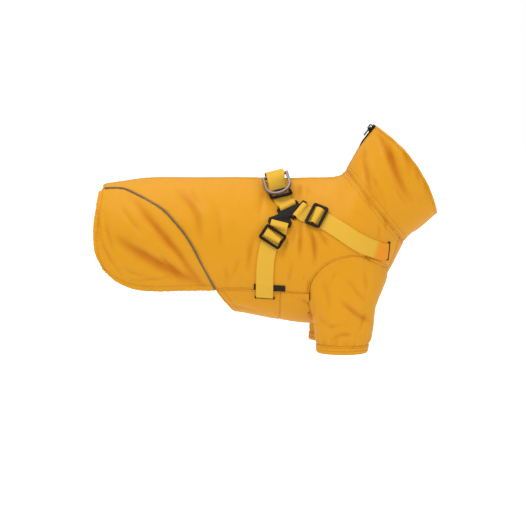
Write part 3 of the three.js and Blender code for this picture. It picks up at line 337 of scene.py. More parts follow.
def fill_edges(upper, lower, rear, front, columns, rows):
    """Places that fill four edges, with the seam's gap left all round."""
    u = packed(run_along(body_point(lower))[-1], columns)
    v = packed(run_along(body_point(rear))[-1], rows)
    top, low = resampled(upper, u)[:, None], resampled(lower, u)[:, None]
    back, fore = resampled(rear, v)[None], resampled(front, v)[None]
    u, v = u[:, None, None], v[None, :, None]
    grid = (1 - v) * top + v * low + (1 - u) * back + u * fore
    grid -= (1 - u) * (1 - v) * upper[0] + u * (1 - v) * upper[-1]
    grid -= (1 - u) * v * lower[0] + u * v * lower[-1]
    for _ in range(2):
        away = np.linalg.norm(body_point(grid[0]) - body_point(grid[1]), axis=-1)[:, None]
        grid[0] += (grid[1] - grid[0]) * np.minimum(0.5, SEAM_GAP / away)
        away = np.linalg.norm(body_point(grid[-1]) - body_point(grid[-2]), axis=-1)[:, None]
        grid[-1] += (grid[-2] - grid[-1]) * np.minimum(0.5, SEAM_GAP / away)
        grid = grid.swapaxes(0, 1)
    return grid


def smoothstep(value, low, high):
    u = np.clip((value - low) / (high - low), 0, 1)
    return u * u * (3 - 2 * u)


def fold_sink(folds, points):
    """How deep the cloth sinks into its folds, in mm; a swell is below zero."""
    hidden = points[..., 1] > 0
    x = points[..., 0] - np.where(hidden, 6, 0)
    z = points[..., 2] + np.where(hidden, 4, 0)
    u = np.linspace(0, 1, 40)
    sink = np.zeros(x.shape)
    for x1, z1, x2, z2, x3, z3, half, deep, swell in folds:
        line_x = (1 - u) ** 2 * x1 + 2 * u * (1 - u) * x2 + u * u * x3
        line_z = (1 - u) ** 2 * z1 + 2 * u * (1 - u) * z2 + u * u * z3
        away = np.hypot(x[..., None] - line_x, z[..., None] - line_z)
        nearest = away.argmin(-1)
        distance = away.min(-1)
        over_x, over_z = np.gradient(line_x)[nearest], np.gradient(line_z)[nearest]
        side = np.sign((x - line_x[nearest]) * over_z - (z - line_z[nearest]) * over_x)
        along = np.sin(np.pi * (0.08 + 0.84 * u[nearest]))
        trough = 0.62 * np.cos(np.clip(distance / half, 0, 1) * np.pi / 2) ** 2
        trough += 0.38 * np.exp(-((distance / (0.27 * half)) ** 2))
        off = np.clip(np.abs(side * distance + 1.25 * half) / (0.95 * half), 0, 1)
        sink += FOLD_GAIN * along * (deep * trough - swell * np.cos(off * np.pi / 2) ** 2)
    return sink * smoothstep(np.abs(points[..., 1]), 11, 20) * np.where(hidden, 0.85, 1)


def rumple(points, deep):
    """Slight unevenness of worn cloth."""
    x, y, z = points[..., 0], points[..., 1], points[..., 2]
    slow = np.sin(x * 0.115 + 1.3 * np.sin(z * 0.06 + 0.4))
    slow *= np.sin(z * 0.14 + 1.1 * np.sin(x * 0.045) + y * 0.03)
    quick = np.sin(x * 0.31 + z * 0.22 + 2 * np.sin(z * 0.08))
    quick *= np.sin(z * 0.27 - x * 0.11 + y * 0.05)
    return deep * (0.7 * slow + 0.3 * quick)


def strap_cover(points):
    """1 where a strap, plate or label presses the cloth, and 0 away from them."""
    cover = np.zeros(points.shape[:-1])
    for route in strap_routes:
        line = np.array(route, dtype=float)
        run = run_along(line)
        line_x, line_z = read_off(np.linspace(0, run[-1], 40), run, line).T
        away = np.hypot(points[..., 0, None] - line_x, points[..., 2, None] - line_z).min(-1)
        cover = np.maximum(cover, 1 - smoothstep(away, 14, 19))
    return cover


def edge_distances(points):
    """Distance in mm from the rear, front, upper and lower edge of a grid."""
    along, down = run_along(points), run_across(points)
    return {
        "rear": (along, down),
        "front": (along[-1:] - along, down),
        "upper": (down, along),
        "lower": (down[:, -1:] - down, along),
    }


def seam_sink(points, edges):
    """Turned-in edges, the groove of the topstitching and its puckers."""
    sink = np.zeros(points.shape[:-1])
    for edge, (distance, run) in edge_distances(points).items():
        turned, rows, pucker = edges.get(edge, (0, (), 0))
        sink += turned * np.exp(-((distance / 1.3) ** 2))
        for row in rows:
            sink += 0.34 * np.exp(-(((distance - row) / 0.7) ** 2))
        wander = run + 2.2 * np.sin(run * 0.21) + 1.1 * np.sin(run * 0.63 + 1)
        ripple = 0.5 + 0.5 * np.sin(wander * 2 * np.pi / 6.3)
        sink += pucker * ripple * np.exp(-((distance / 9) ** 2))
    return sink


def select_only(piece):
    bpy.ops.object.select_all(action="DESELECT")
    piece.select_set(True)
    bpy.context.view_layer.objects.active = piece


def plain_mesh(name, vertices, faces, uv, marks):
    """New object at the origin from points in mm, with its own UV map in metres."""
    mesh = bpy.data.meshes.new(name)
    mesh.from_pydata((vertices * MM).tolist(), [], faces)
    layer = mesh.uv_layers.new(name="cut")
    corner = np.empty(len(mesh.loops), dtype=np.int32)
    mesh.loops.foreach_get("vertex_index", corner)
    layer.data.foreach_set("uv", (uv[corner] * MM).astype(np.float32).ravel())
    # fold depths, read by the cloth materials as painted shade
    shade_depth = mesh.attributes.new("shade_depth", "FLOAT", "POINT")
    shade_depth.data.foreach_set("value", marks.astype(np.float32))
    mesh.update()
    piece = bpy.data.objects.new(name, mesh)
    bpy.context.collection.objects.link(piece)
    select_only(piece)
    bpy.ops.object.shade_smooth()
    return piece


def grid_faces(columns, rows, loop=False):
    faces = []
    for i in range(columns if loop else columns - 1):
        ahead = (i + 1) % columns
        for j in range(rows - 1):
            faces.append((i * rows + j, i * rows + j + 1, ahead * rows + j + 1, ahead * rows + j))
    return faces


def facing_out(flat, faces, sides, outward):
    """Faces turned outwards; sides is how many of them tell which way they point."""
    a, b, c = (flat[[face[k] for face in faces[:sides]]] for k in (0, 1, 2))
    if (np.cross(b - a, c - a) * outward).sum() < 0:
        return [face[::-1] for face in faces]
    return faces


def sewn_shell(name, outer, out, wall, marks, loop=False):
    """Thin shell of cloth whose outer face is a grid of points in mm."""
    run_u = run_along(np.concatenate([outer, outer[:1]]))[:-1] if loop else run_along(outer)
    columns, rows = outer.shape[:2]
    faces = grid_faces(columns, rows, loop)
    flat = outer.reshape(-1, 3)
    faces = facing_out(flat, faces, len(faces), out.reshape(-1, 3)[[face[0] for face in faces]])
    uv = np.stack([run_u, run_across(outer)], -1).reshape(-1, 2)
    piece = plain_mesh(name, flat, faces, uv, marks.ravel())
    solid = piece.modifiers.new("wall", "SOLIDIFY")
    solid.thickness = wall * MM
    solid.offset = -1
    bpy.ops.object.modifier_apply(modifier=solid.name)
    return piece


def cloth_grid(places, folds, edges, deep=0.35, height=CLOTH):
    """Outer points, normals and fold depths of cloth over a grid of places."""
    point, out = skin_at(places)
    sink = fold_sink(folds, point) + rumple(point, deep) * smoothstep(np.abs(point[..., 1]), 8, 20)
    cover = strap_cover(point)
    sink = np.where(sink < 0, sink * (1 - cover), sink) + 0.12 * cover
    sink += seam_sink(point, edges)
    outer = point + out * (height - sink)[..., None]
    return outer, out, sink


def socket_group(name, inputs, outputs):
    """Empty shader node group with named sockets."""
    group = bpy.data.node_groups.new(name, "ShaderNodeTree")
    for kind, wanted in (("INPUT", inputs), ("OUTPUT", outputs)):
        for socket, (sort, value) in wanted.items():
            made = group.interface.new_socket(socket, in_out=kind, socket_type=sort)
            if value is not None and kind == "INPUT":
                made.default_value = value
    return group, group.nodes.new("NodeGroupInput"), group.nodes.new("NodeGroupOutput")


def maths(tree, operation, a, b=None):
    """Math node whose inputs are sockets or numbers."""
    node = tree.nodes.new("ShaderNodeMath")
    node.operation = operation
    for i, value in enumerate((a, b)):
        if value is None:
            continue
        if isinstance(value, (int, float)):
            node.inputs[i].default_value = value
        else:
            tree.links.new(value, node.inputs[i])
    return node.outputs[0]


# fine plain weave in the piece's own UV, in metres
weave_group, weave_in, weave_out = socket_group(
    "plain_weave",
    {"UV": ("NodeSocketVector", None), "Threads": ("NodeSocketFloat", 2200.0)},
    {"Height": ("NodeSocketFloat", None), "Variation": ("NodeSocketFloat", None)},
)
parts = weave_group.nodes.new("ShaderNodeSeparateXYZ")
weave_group.links.new(weave_in.outputs["UV"], parts.inputs[0])
thread_waves = []
for axis in ("X", "Y"):
    phase = maths(weave_group, "MULTIPLY", parts.outputs[axis], weave_in.outputs["Threads"])
    thread_waves.append(maths(weave_group, "SINE", phase))
weave_height = maths(weave_group, "MULTIPLY", thread_waves[0], thread_waves[1])
weave_group.links.new(weave_height, weave_out.inputs["Height"])
weave_noise = weave_group.nodes.new("ShaderNodeTexNoise")
weave_noise.inputs["Scale"].default_value = 60
weave_noise.inputs["Detail"].default_value = 4
weave_group.links.new(weave_in.outputs["UV"], weave_noise.inputs["Vector"])
weave_group.links.new(weave_noise.outputs["Fac"], weave_out.inputs["Variation"])


def two_tones(tree, shader, share, colour, other):
    """Base colour that goes from one colour to another as the share rises."""
    mix = tree.nodes.new("ShaderNodeMix")
    mix.data_type = "RGBA"
    mix.inputs[6].default_value = (*colour, 1)
    mix.inputs[7].default_value = (*other, 1)
    tree.links.new(share, mix.inputs[0])
    tree.links.new(mix.outputs[2], shader.inputs["Base Color"])


def fine_relief(tree, shader, height, strength, depth):
    relief = tree.nodes.new("ShaderNodeBump")
    relief.inputs["Strength"].default_value = strength
    relief.inputs["Distance"].default_value = depth
    tree.links.new(height, relief.inputs["Height"])
    tree.links.new(relief.outputs[0], shader.inputs["Normal"])


def woven_material(name, colour, uneven_and_shade_colour, threads, bump, roughness, sheen):
    """Cloth with a weave, slight unevenness of colour, and painted shade that deepens its colour in its folds.
    """
    material, tree, shader = plain_material(name)
    shader.inputs["Roughness"].default_value = roughness
    shader.inputs["Specular IOR Level"].default_value = 0.16
    shader.inputs["Sheen Weight"].default_value = sheen
    shader.inputs["Sheen Roughness"].default_value = 0.45
    shader.inputs["Sheen Tint"].default_value = (1.0, 0.86, 0.55, 1)
    uv = tree.nodes.new("ShaderNodeUVMap")
    uv.uv_map = "cut"
    weave = tree.nodes.new("ShaderNodeGroup")
    weave.node_tree = weave_group
    weave.inputs["Threads"].default_value = threads
    tree.links.new(uv.outputs["UV"], weave.inputs["UV"])
    # fold depths of the piece, which deepen its colour as painted shade
    shade_depth = tree.nodes.new("ShaderNodeAttribute")
    shade_depth.attribute_name = "shade_depth"
    painted_shade = tree.nodes.new("ShaderNodeMapRange")
    painted_shade.inputs["From Min"].default_value = 0.2
    painted_shade.inputs["From Max"].default_value = DEEP_FOLD
    tree.links.new(shade_depth.outputs["Fac"], painted_shade.inputs["Value"])
    uneven = maths(tree, "MULTIPLY", maths(tree, "SUBTRACT", weave.outputs["Variation"], 0.5), 0.35)
    two_tones(tree, shader, maths(tree, "ADD", painted_shade.outputs[0], uneven), colour, uneven_and_shade_colour)
    fine_relief(tree, shader, weave.outputs["Height"], bump, 0.00003)
    return material


shell_cloth = woven_material("shell_cloth", SHELL_COLOUR, FOLD_SHADE_COLOUR, 7000, 0.25, 0.5, 0.03)
THREAD_COLOUR = (0.36, 0.115, 0.004)
sewing_thread = woven_material("sewing_thread", THREAD_COLOUR, (0.3, 0.08, 0.003), 9000, 0.4, 0.6, 0.05)


def dress(piece, material, body="coat"):
    piece.data.materials.clear()
    piece.data.materials.append(material)
    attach(piece, body)
    return piece


def edge_row(outer, out, edge, distance):
    """Points and normals of a grid on a line beside one of its edges."""
    if edge in ("upper", "lower"):
        outer, out = outer.swapaxes(0, 1), out.swapaxes(0, 1)
    if edge in ("front", "lower"):
        outer, out = outer[::-1], out[::-1]
    run = run_along(outer)
    line, normals = (
        np.array([read_off(distance, run[:, j], grid[:, j]) for j in range(grid.shape[1])])
        for grid in (outer, out)
    )
    return line, unit(normals)


# lockstitches of round thread, each a five-sided bead that dips at its ends
STITCH = {"pitch": 3.0, "length": 2.4, "thick": 0.42, "sunk": 0.04, "sides": 5}
stitch_rings = ((-0.5, 0.35), (-0.3, 0.9), (0, 1), (0.3, 0.9), (0.5, 0.35))


def stitches(name, rows):
    """Stitches along rows of points and normals."""
    sides, levels = STITCH["sides"], len(stitch_rings)
    vertices, faces, first = [], [], 0
    for line, normals in rows:
        run = run_along(line)
        middles = np.arange(STITCH["pitch"], run[-1] - STITCH["pitch"] / 2, STITCH["pitch"])
        point = read_off(middles, run, line)
        out = unit(read_off(middles, run, normals))
        along = unit(read_off(middles + 0.3, run, line) - point)
        across = np.cross(out, along)
        for share, size in stitch_rings:
            dip = STITCH["sunk"] - 0.5 * share**2
            centre = point + along * share * STITCH["length"] + out * dip
            for k in range(sides):
                turned = 2 * np.pi * k / sides
                half = STITCH["thick"] / 2 * size
                vertices.append(centre + (across * np.cos(turned) + out * np.sin(turned)) * half)
        count = len(middles)
        for i in range(count):
            ring = [[first + (level * sides + k) * count + i for k in range(sides)] for level in range(levels)]
            for low, high in zip(ring, ring[1:]):
                for k in range(sides):
                    ahead = (k + 1) % sides
                    faces.append((low[k], low[ahead], high[ahead], high[k])[::-1])
            faces.append(tuple(ring[0]))
            faces.append(tuple(ring[-1][::-1]))
        first += sides * levels * count
    flat = np.concatenate(vertices)
    piece = plain_mesh(name, flat, faces, flat[:, :2], np.zeros(len(flat)))
    bpy.ops.object.mode_set(mode="EDIT")
    bpy.ops.mesh.select_all(action="SELECT")
    bpy.ops.mesh.normals_make_consistent(inside=False)
    bpy.ops.object.mode_set(mode="OBJECT")
    return dress(piece, sewing_thread)


def sewn_piece(name, places, folds, edges, deep=0.35):
    """Piece of shell cloth over a grid of places, with the rows of stitches at its edges."""
    outer, out, sink = cloth_grid(places, folds, edges, deep)
    piece = dress(sewn_shell(name, outer, out, SHELL_WALL, sink), shell_cloth)
    rows = [(edge, distance) for edge, (_turned, away, _pucker) in edges.items() for distance in away]
    stitches(name.replace("cloth", "stitching"), [edge_row(outer, out, *row) for row in rows])
    return piece


def under_mirrored(places):
    return np.stack([places[..., 0], 2 - places[..., 1]], -1)


piping_places = through(flank_places(piping_line), 160)
rear_places = through(flank_places(rear_hem), 120)
skirt_places = through(flank_places(skirt_hem), 110)
belly_places = through(flank_places(belly_seam), 70)
rib_places = through(flank_places(rib_seam), 30)
over_places = through(flank_places(armhole_over), 130)
front_places = through(flank_places(front_seam), 30)
under_guess = np.array([(x * 0.75, 0.88) for x, _y in armhole_under])
under_knots = places_at(np.array(armhole_under, dtype=float), (0, 1), under_guess)
under_places = through(np.vstack([over_places[:1], under_knots, over_places[-1:]]), 130)
throat = front_places[-1]

lower_edge = joined(belly_places, rib_places, over_places, front_places)
zip_edge = beside_spine(np.linspace(TAIL_END, throat[0], len(lower_edge)), HALF_ZIP_OPENING)
tail_edge = joined(straight(zip_edge[0], piping_places[0], 10), piping_places)
neck_edge = straight(zip_edge[-1], throat, 100)
side_places = fill_edges(zip_edge, lower_edge, tail_edge, neck_edge, 190, 76)
# for each edge: its turned-in thickness, its rows of stitches and its puckers
side_edges = {
    "upper": (-0.3, (2.4,), 0.12),
    "lower": (0.75, (2.4,), 0.35),
    "rear": (0.7, (2.6,), 0.5),
    "front": (0.75, (2.2, 6.2), 0.35),
}
for hand, turn in HANDS:
    piece = sewn_piece(f"side_cloth_{hand}", side_places * [1, turn], coat_folds, side_edges)
    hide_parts(f"side_panel_{hand}")

# Skirt panels over the hips, behind the piping, of the same shell. The hem is
# turned up over a narrow elastic, which gathers it into small puckers.
skirt_folds = [
    (-232, -60, -222, -88, -205, -106, 5, 1.1, 0.4),
    (-236, -30, -232, -48, -230, -66, 4, 0.8, 0.3),
    (-196, -112, -176, -112, -150, -108, 4, 0.9, 0.3),
    (-170, -70, -152, -92, -138, -112, 6, 1.1, 0.4),
]
skirt_grid = fill_edges(
    straight(rear_places[0], piping_places[0], 10), skirt_places, rear_places, piping_places, 84, 84
)
skirt_edges = {
    "upper": (0.2, (), 0),
    "lower": (-0.5, (7.5,), 0.75),
    "rear": (-0.5, (5.5,), 0.7),
    "front": (0.7, (), 0.4),
}
for hand, turn in HANDS:
    piece = sewn_piece(f"skirt_cloth_{hand}", skirt_grid * [1, turn], coat_folds + skirt_folds, skirt_edges)
    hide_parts(f"skirt_panel_{hand}")

# Belly panel between the side panels, with a broad double-stitched hem that
# bows forwards, and chest panel from there to the throat, between the sleeves.
BELLY_HEM_BOW = 24
belly_folds = [
    (-92, -140, -70, -146, -40, -150, 6, 0.8, 0.3),
    (-20, -134, -8, -140, 4, -141, 5, 1.0, 0.3),
]
chest_folds = [
    (1, -134, 5, -136, 11, -140, 4, 1.2, 0.4),
    (14, -150, 40, -152, 70, -138, 7, 1.4, 0.5),
    (84, -128, 92, -112, 96, -100, 6, 1.0, 0.4),
    (96, -112, 104, -98, 108, -84, 5, 0.9, 0.3),
]


def crossing(seam, rear_bow, columns, rows):
    """Places of a panel that crosses under the body, from seam to seam."""
    v = np.linspace(0, 1, 121)
    hem, end = (
        np.stack([start[0] + bow * np.sin(np.pi * v), start[1] + (2 - 2 * start[1]) * v], -1)
        for start, bow in ((seam[0], rear_bow), (seam[-1], 0))
    )
    return fill_edges(seam, under_mirrored(seam), hem, end, columns, rows)


belly_grid = crossing(belly_places, BELLY_HEM_BOW, 46, 96)
belly_edges = {
    "upper": (0.7, (2.4,), 0.3),
    "lower": (0.7, (2.4,), 0.3),
    "rear": (-0.3, (1.6, 8), 0.5),
    "front": (0.7, (), 0.2),
}
belly = sewn_piece("belly_cloth", belly_grid, belly_folds, belly_edges)
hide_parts("belly_panel")

chest_grid = crossing(joined(rib_places, under_places, front_places), 0, 110, 60)
chest_edges = {
    "upper": (0.6, (), 0.3),
    "lower": (0.6, (), 0.3),
    "rear": (0.7, (), 0.3),
    "front": (0.7, (2.4,), 0.3),
}
chest = sewn_piece("chest_cloth", chest_grid, chest_folds, chest_edges)
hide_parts("chest_panel")

# Piping, a folded strip of warm grey reflective tape caught in the seam
# between skirt and side, lying as a low half round over the seam.
PIPING = {"width": 2.2, "height": 1.4, "sunk": 0.5, "short": 2}
PIPING_COLOUR = (0.15, 0.112, 0.074)
piping_cloth = woven_material("piping_cloth", PIPING_COLOUR, (0.09, 0.06, 0.035), 9000, 0.2, 0.35, 0.0)
piping_cloth.node_tree.nodes["Principled BSDF"].inputs["Metallic"].default_value = 0.3


def walk(places, vectors, steps=4):
    """Places reached by short moves over the coat, given in mm."""
    here = np.array(places, dtype=float)
    for _ in range(steps):
        _point, along_s, along_t, out = body_frame(here)
        move = vectors - out * (vectors * out).sum(-1, keepdims=True)
        move *= np.linalg.norm(vectors, axis=-1, keepdims=True) / np.maximum(
            np.linalg.norm(move, axis=-1, keepdims=True), 1e-9
        ) / steps
        ss, st, tt = (along_s**2).sum(-1), (along_s * along_t).sum(-1), (along_t**2).sum(-1)
        ms, mt = (move * along_s).sum(-1), (move * along_t).sum(-1)
        det = ss * tt - st * st
        here = here + np.stack([(ms * tt - mt * st) / det, (mt * ss - ms * st) / det], -1)
    return here


def swept(name, sections):
    """Closed band from rings of points, all with the same count."""
    rings, count = sections.shape[:2]
    faces = []
    for i in range(rings - 1):
        for j in range(count):
            k = (j + 1) % count
            faces.append((i * count + j, i * count + k, (i + 1) * count + k, (i + 1) * count + j))
    sides = len(faces)
    faces.append(tuple(range(count))[::-1])
    faces.append(tuple((rings - 1) * count + j for j in range(count)))
    flat = sections.reshape(-1, 3)
    middle = sections.mean(1)
    outward = flat[:sides] - np.repeat(middle[:-1], count, axis=0)
    faces = facing_out(flat, faces, sides, outward)
    run = np.repeat(run_along(middle)[:, None], count, 1)
    uv = np.stack([run, run_across(sections)], -1).reshape(-1, 2)
    piece = plain_mesh(name, flat, faces, uv, np.zeros(len(flat)))
    bpy.ops.object.shade_smooth_by_angle(angle=radians(50))
    return piece


# the half round of the tape over the seam
piping_round = [
    (-1, 0), (-1, 0.55), (-0.7, 0.95), (-0.2, 1.1), (0.2, 1.1), (0.7, 0.95), (1, 0.55), (1, 0),
]
for hand, turn in HANDS:
    line = piping_places[PIPING["short"]:-PIPING["short"]] * [1, turn]
    point, out = skin_at(line)
    across = np.cross(out, unit(np.gradient(point, axis=0)))
    lines = []
    for aside, high in piping_round:
        beside, beside_out = skin_at(walk(line, across * aside * PIPING["width"] / 2))
        lines.append(beside + beside_out * (CLOTH - PIPING["sunk"] + high * PIPING["height"]))
    piece = swept(f"piping_tape_{hand}", np.stack(lines, 1))
    dress(piece, piping_cloth)
    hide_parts(f"piping_{hand}")

# Collar, a raised band of shell from the neck seam to the rim, open at the
# back zip. It leans forwards and buckles into broad soft folds, and its inside
# is faced with a black lining that stops a little below the rim.
COLLAR = {"height": 95, "girth": 300}
collar_folds = [
    (88, 56, 96, 40, 104, 22, 6, 1.6, 0.5),
    (118, 32, 122, 12, 128, -6, 6, 1.5, 0.5),
    (140, 10, 142, -6, 146, -20, 5, 1.0, 0.4),
]


def open_round(from_s, to_s, from_spine, count, rounds):
    """Places of a band round the body, open on the spine."""
    start = beside_spine(from_s + (to_s - from_s) * packed(COLLAR["height"], count), from_spine)
    share = packed(COLLAR["girth"], rounds)[None, :, None]
    return start[:, None] + (under_mirrored(start) - start)[:, None] * share


collar_grid = open_round(throat[0] + 0.1, RIM, HALF_ZIP_OPENING, 30, 150)
collar_edges = {
    "rear": (0.75, (2.2, 6.2), 0.4),
    "front": (-0.3, (3.0,), 0.5),
    "upper": (-0.3, (2.4,), 0.15),
    "lower": (-0.3, (2.4,), 0.15),
}
collar = sewn_piece("collar_cloth", collar_grid, coat_folds + collar_folds, collar_edges, deep=0.5)
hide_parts("collar")

LINING = {"below_rim": 1.2, "above_seam": 2, "from_zip": 3, "wall": 0.9, "inside": 0.25}
lining_cloth = woven_material(
    "lining_cloth", (0.012, 0.010, 0.009), (0.006, 0.005, 0.004), 9000, 0.4, 0.75, 0.3
)
lining_grid = open_round(
    throat[0] + LINING["above_seam"], RIM - LINING["below_rim"], HALF_ZIP_OPENING + LINING["from_zip"], 26, 120
)
outer, out, sink = cloth_grid(
    lining_grid, coat_folds + collar_folds, {}, deep=0.5, height=-LINING["inside"]
)
lining = sewn_shell("lining_cloth_band", outer, out, LINING["wall"], sink)
dress(lining, lining_cloth)
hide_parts("collar_lining")

# Back zip. A woven tape lies under each edge from the tail to the rim, moulded
# teeth close the gap between them, and the slider stands at the top with its
# pull tab hanging down the nape.
TAPE = {"inner": 0.1, "outer": 7.5, "top": -0.95, "wall": 0.8}
TOOTH = {"pitch": 2.5, "length": 1.5, "reach": 2.4, "height": 1.9, "bevel": 0.35, "overlap": 0.35}
# how high the teeth stand under the slider, and where that begins and ends
TEETH_RISE = {"high": 2.6, "from": 32, "to": 16}
tape_stations = np.linspace(TAIL_END + 2, RIM - 1, 180)
for hand, turn in HANDS:
    edge = [beside_spine(tape_stations, d) for d in np.linspace(TAPE["inner"], TAPE["outer"], 8)]
    point, out = skin_at(np.stack(edge, 1) * [1, turn])
    outer, flat_marks = point + out * TAPE["top"], np.zeros(point.shape[:2])
    piece = sewn_shell(f"tape_cloth_{hand}", outer, out, TAPE["wall"], flat_marks)
    dress(piece, lining_cloth)
    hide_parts(f"zip_tape_{hand}")

# hard plastic with a fine moulded grain, in the piece's own coordinates
grain_group, grain_in, grain_out = socket_group(
    "moulded_grain", {"Scale": ("NodeSocketFloat", 900.0)}, {"Height": ("NodeSocketFloat", None)}
)
grain_place = grain_group.nodes.new("ShaderNodeTexCoord")
grain = grain_group.nodes.new("ShaderNodeTexNoise")
grain.inputs["Detail"].default_value = 3
grain_group.links.new(grain_place.outputs["Object"], grain.inputs["Vector"])
grain_group.links.new(grain_in.outputs["Scale"], grain.inputs["Scale"])
grain_group.links.new(grain.outputs["Fac"], grain_out.inputs["Height"])


def hard_material(name, colour, metallic, roughness, scale, bump):
    """Hard surface with a fine grain in its gloss, tone and relief."""
    material, tree, shader = plain_material(name)
    shader.inputs["Metallic"].default_value = metallic
    shader.inputs["Specular IOR Level"].default_value = 0.14
    grain_node = tree.nodes.new("ShaderNodeGroup")
    grain_node.node_tree = grain_group
    grain_node.inputs["Scale"].default_value = scale
    grain_height = grain_node.outputs["Height"]
    worn = maths(tree, "MULTIPLY_ADD", grain_height, 0.25)
    worn.node.inputs[2].default_value = roughness - 0.12
    tree.links.new(worn, shader.inputs["Roughness"])
    two_tones(tree, shader, grain_height, colour, [c * 1.6 for c in colour])
    fine_relief(tree, shader, grain_height, bump, 0.00005)
    return material


black_plastic = hard_material("black_plastic", (0.0075, 0.0048, 0.0035), 0, 0.5, 1400, 0.5)


def moulded(node, name, material, edge, body="coat"):
    """Copy of a hard CAD piece with its flat faces rejoined and its edges eased."""
    source = bpy.data.objects[node]
    piece = bpy.data.objects.new(name, source.data.copy())
    bpy.context.collection.objects.link(piece)
    piece.matrix_world = source.matrix_world
    select_only(piece)
    bpy.ops.object.transform_apply(location=True, rotation=True, scale=True)
    bpy.ops.object.mode_set(mode="EDIT")
    bpy.ops.mesh.select_all(action="SELECT")
    bpy.ops.mesh.remove_doubles(threshold=0.000005)
    bpy.ops.mesh.dissolve_limited(angle_limit=radians(2))
    bpy.ops.object.mode_set(mode="OBJECT")
    eased = piece.modifiers.new("eased", "BEVEL")
    eased.width = edge * MM
    eased.segments = 2
    eased.angle_limit = radians(35)
    bpy.ops.object.modifier_apply(modifier=eased.name)
    bpy.ops.object.shade_smooth_by_angle(angle=radians(40))
    dress(piece, material, body)
    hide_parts(node)
    return piece


bpy.ops.object.select_all(action="DESELECT")
bpy.ops.mesh.primitive_cube_add(size=1)
tooth = bpy.context.object
bpy.ops.object.mode_set(mode="EDIT")
tooth_size = (TOOTH["length"], TOOTH["reach"], TOOTH["height"])
bpy.ops.transform.resize(value=tooth_size, center_override=(0, 0, 0))
bpy.ops.mesh.bevel(offset=TOOTH["bevel"], segments=1)
bpy.ops.object.mode_set(mode="OBJECT")
corners = np.array([vertex.co[:] for vertex in tooth.data.vertices])
tooth_faces = [tuple(face.vertices) for face in tooth.data.polygons]
bpy.data.objects.remove(tooth)
rail = beside_spine(np.linspace(TAIL_END + 3, RIM - 7, 400), 0)
rail_point, rail_out = skin_at(rail)
rail_run = run_along(rail_point)
vertices, faces = [], []
for i, at in enumerate(np.arange(1, rail_run[-1], TOOTH["pitch"] / 2)):
    here = read_off(at, rail_run, rail_point)
    up = unit(read_off(at, rail_run, rail_out))
    along = unit(read_off(at + 0.5, rail_run, rail_point) - here)
    across = np.cross(up, along)
    side = 1 if i % 2 else -1
    to_rim = rail_run[-1] - at
    risen = TEETH_RISE["high"] * (1 - smoothstep(to_rim, TEETH_RISE["to"], TEETH_RISE["from"]))
    high = TAPE["top"] + TOOTH["height"] / 2 - TOOTH["bevel"] + risen
    middle = here + across * side * (TOOTH["reach"] / 2 - TOOTH["overlap"]) + up * high
    faces.extend(tuple(len(corners) * i + v for v in face) for face in tooth_faces)
    vertices.append(middle + corners @ np.stack([along, across, up]))
flat = np.concatenate(vertices)
teeth = plain_mesh("zip_teeth", flat, faces, flat[:, :2], np.zeros(len(flat)))
bpy.ops.object.shade_smooth_by_angle(angle=radians(30))
dress(teeth, black_plastic)
moulded("zip_slider", "slider_body", black_plastic, 0.35)
moulded("zip_pull", "pull_tab", black_plastic, 0.25, "zip_pull")

# Sleeves, each a tube of shell set into the armhole, easing into an upright
# tube over the foreleg. Elastic in the cuff gathers the cloth above it.
SLEEVE_INSET = {"rear": 0.5, "front": 1.6, "under": 1.5}
SLEEVE_TOP = -100
CUFF = {"top": -186, "bottom": -196, "height": 2.2, "wall": 1.6, "tucked": 2}
HIDDEN_SWING = -7
# height, middle in x and y, half the width along x and along y
sleeve_rings = np.array([
    (-196, 47.8, -46, 27.8, 22.5),
    (-186, 48.5, -46, 29.5, 23.5),
    (-181, 49.5, -46.5, 31.5, 24.5),
    (-165, 49.8, -47, 33, 25),
    (-140, 49, -46.5, 35.3, 25),
    (-118, 53, -45, 40, 23),
    (-100, 58, -43, 44, 22),
], dtype=float)
sleeve_folds = [
    (46, -134, 62, -150, 80, -158, 6, 1.9, 0.7),
    (6, -112, 12, -124, 8, -140, 5, 1.6, 0.5),
    (38, -176, 48, -169, 60, -174, 5, 1.4, 0.5),
    (24, -110, 34, -128, 30, -150, 7, 0.9, 0.3),
    (70, -98, 76, -112, 74, -130, 6, 0.9, 0.3),
    (20, -150, 26, -160, 38, -164, 4, 0.8, 0.3),
    (52, -108, 62, -124, 76, -136, 6, 1.2, 0.4),
    (30, -166, 40, -160, 52, -162, 4, 1.0, 0.3),
    (74, -142, 72, -156, 66, -170, 5, 1.0, 0.3),
    (14, -126, 16, -142, 14, -158, 4, 0.9, 0.3),
    (40, -98, 38, -108, 30, -116, 4, 0.8, 0.2),
]
armhole = np.vstack([over_places, under_places[1:-1][::-1]])
armhole_line, armhole_out = skin_at(armhole)
armhole_middle = body_point(np.vstack([over_places[::10], under_places[10:-10:10]])).mean(0)


def sleeve_tube(z, fall_share, swing):
    """Rings of the sleeve's inner face; z has one row for each ring."""
    k = np.arange(len(armhole))
    angle = np.pi * (1 - k / (len(over_places) - 1))
    under = np.sqrt(np.maximum(0, -np.sin(angle)))
    forward = np.maximum(0, np.cos(angle))
    inset = SLEEVE_INSET["rear"] + (SLEEVE_INSET["front"] - SLEEVE_INSET["rear"]) * forward
    inset = inset + (SLEEVE_INSET["under"] - inset) * under
    reach = np.linalg.norm(armhole_line - armhole_middle, axis=-1)
    start = armhole_line + (armhole_middle - armhole_line) * (inset / reach)[:, None]
    mid_x, mid_y, wide, deep = (smooth_column(sleeve_rings, i, z) for i in (1, 2, 3, 4))
    swung = swing * ((SLEEVE_TOP - z) / (SLEEVE_TOP - CUFF["bottom"])) ** 3
    ease = 1 - np.maximum(0, 1 - fall_share) ** 3
    x = start[:, 0] + (mid_x + swung + wide * np.cos(angle) - start[:, 0]) * ease
    y = start[:, 1] + (mid_y - deep * np.sin(angle) - start[:, 1]) * ease
    return np.stack([x, y, z], -1)


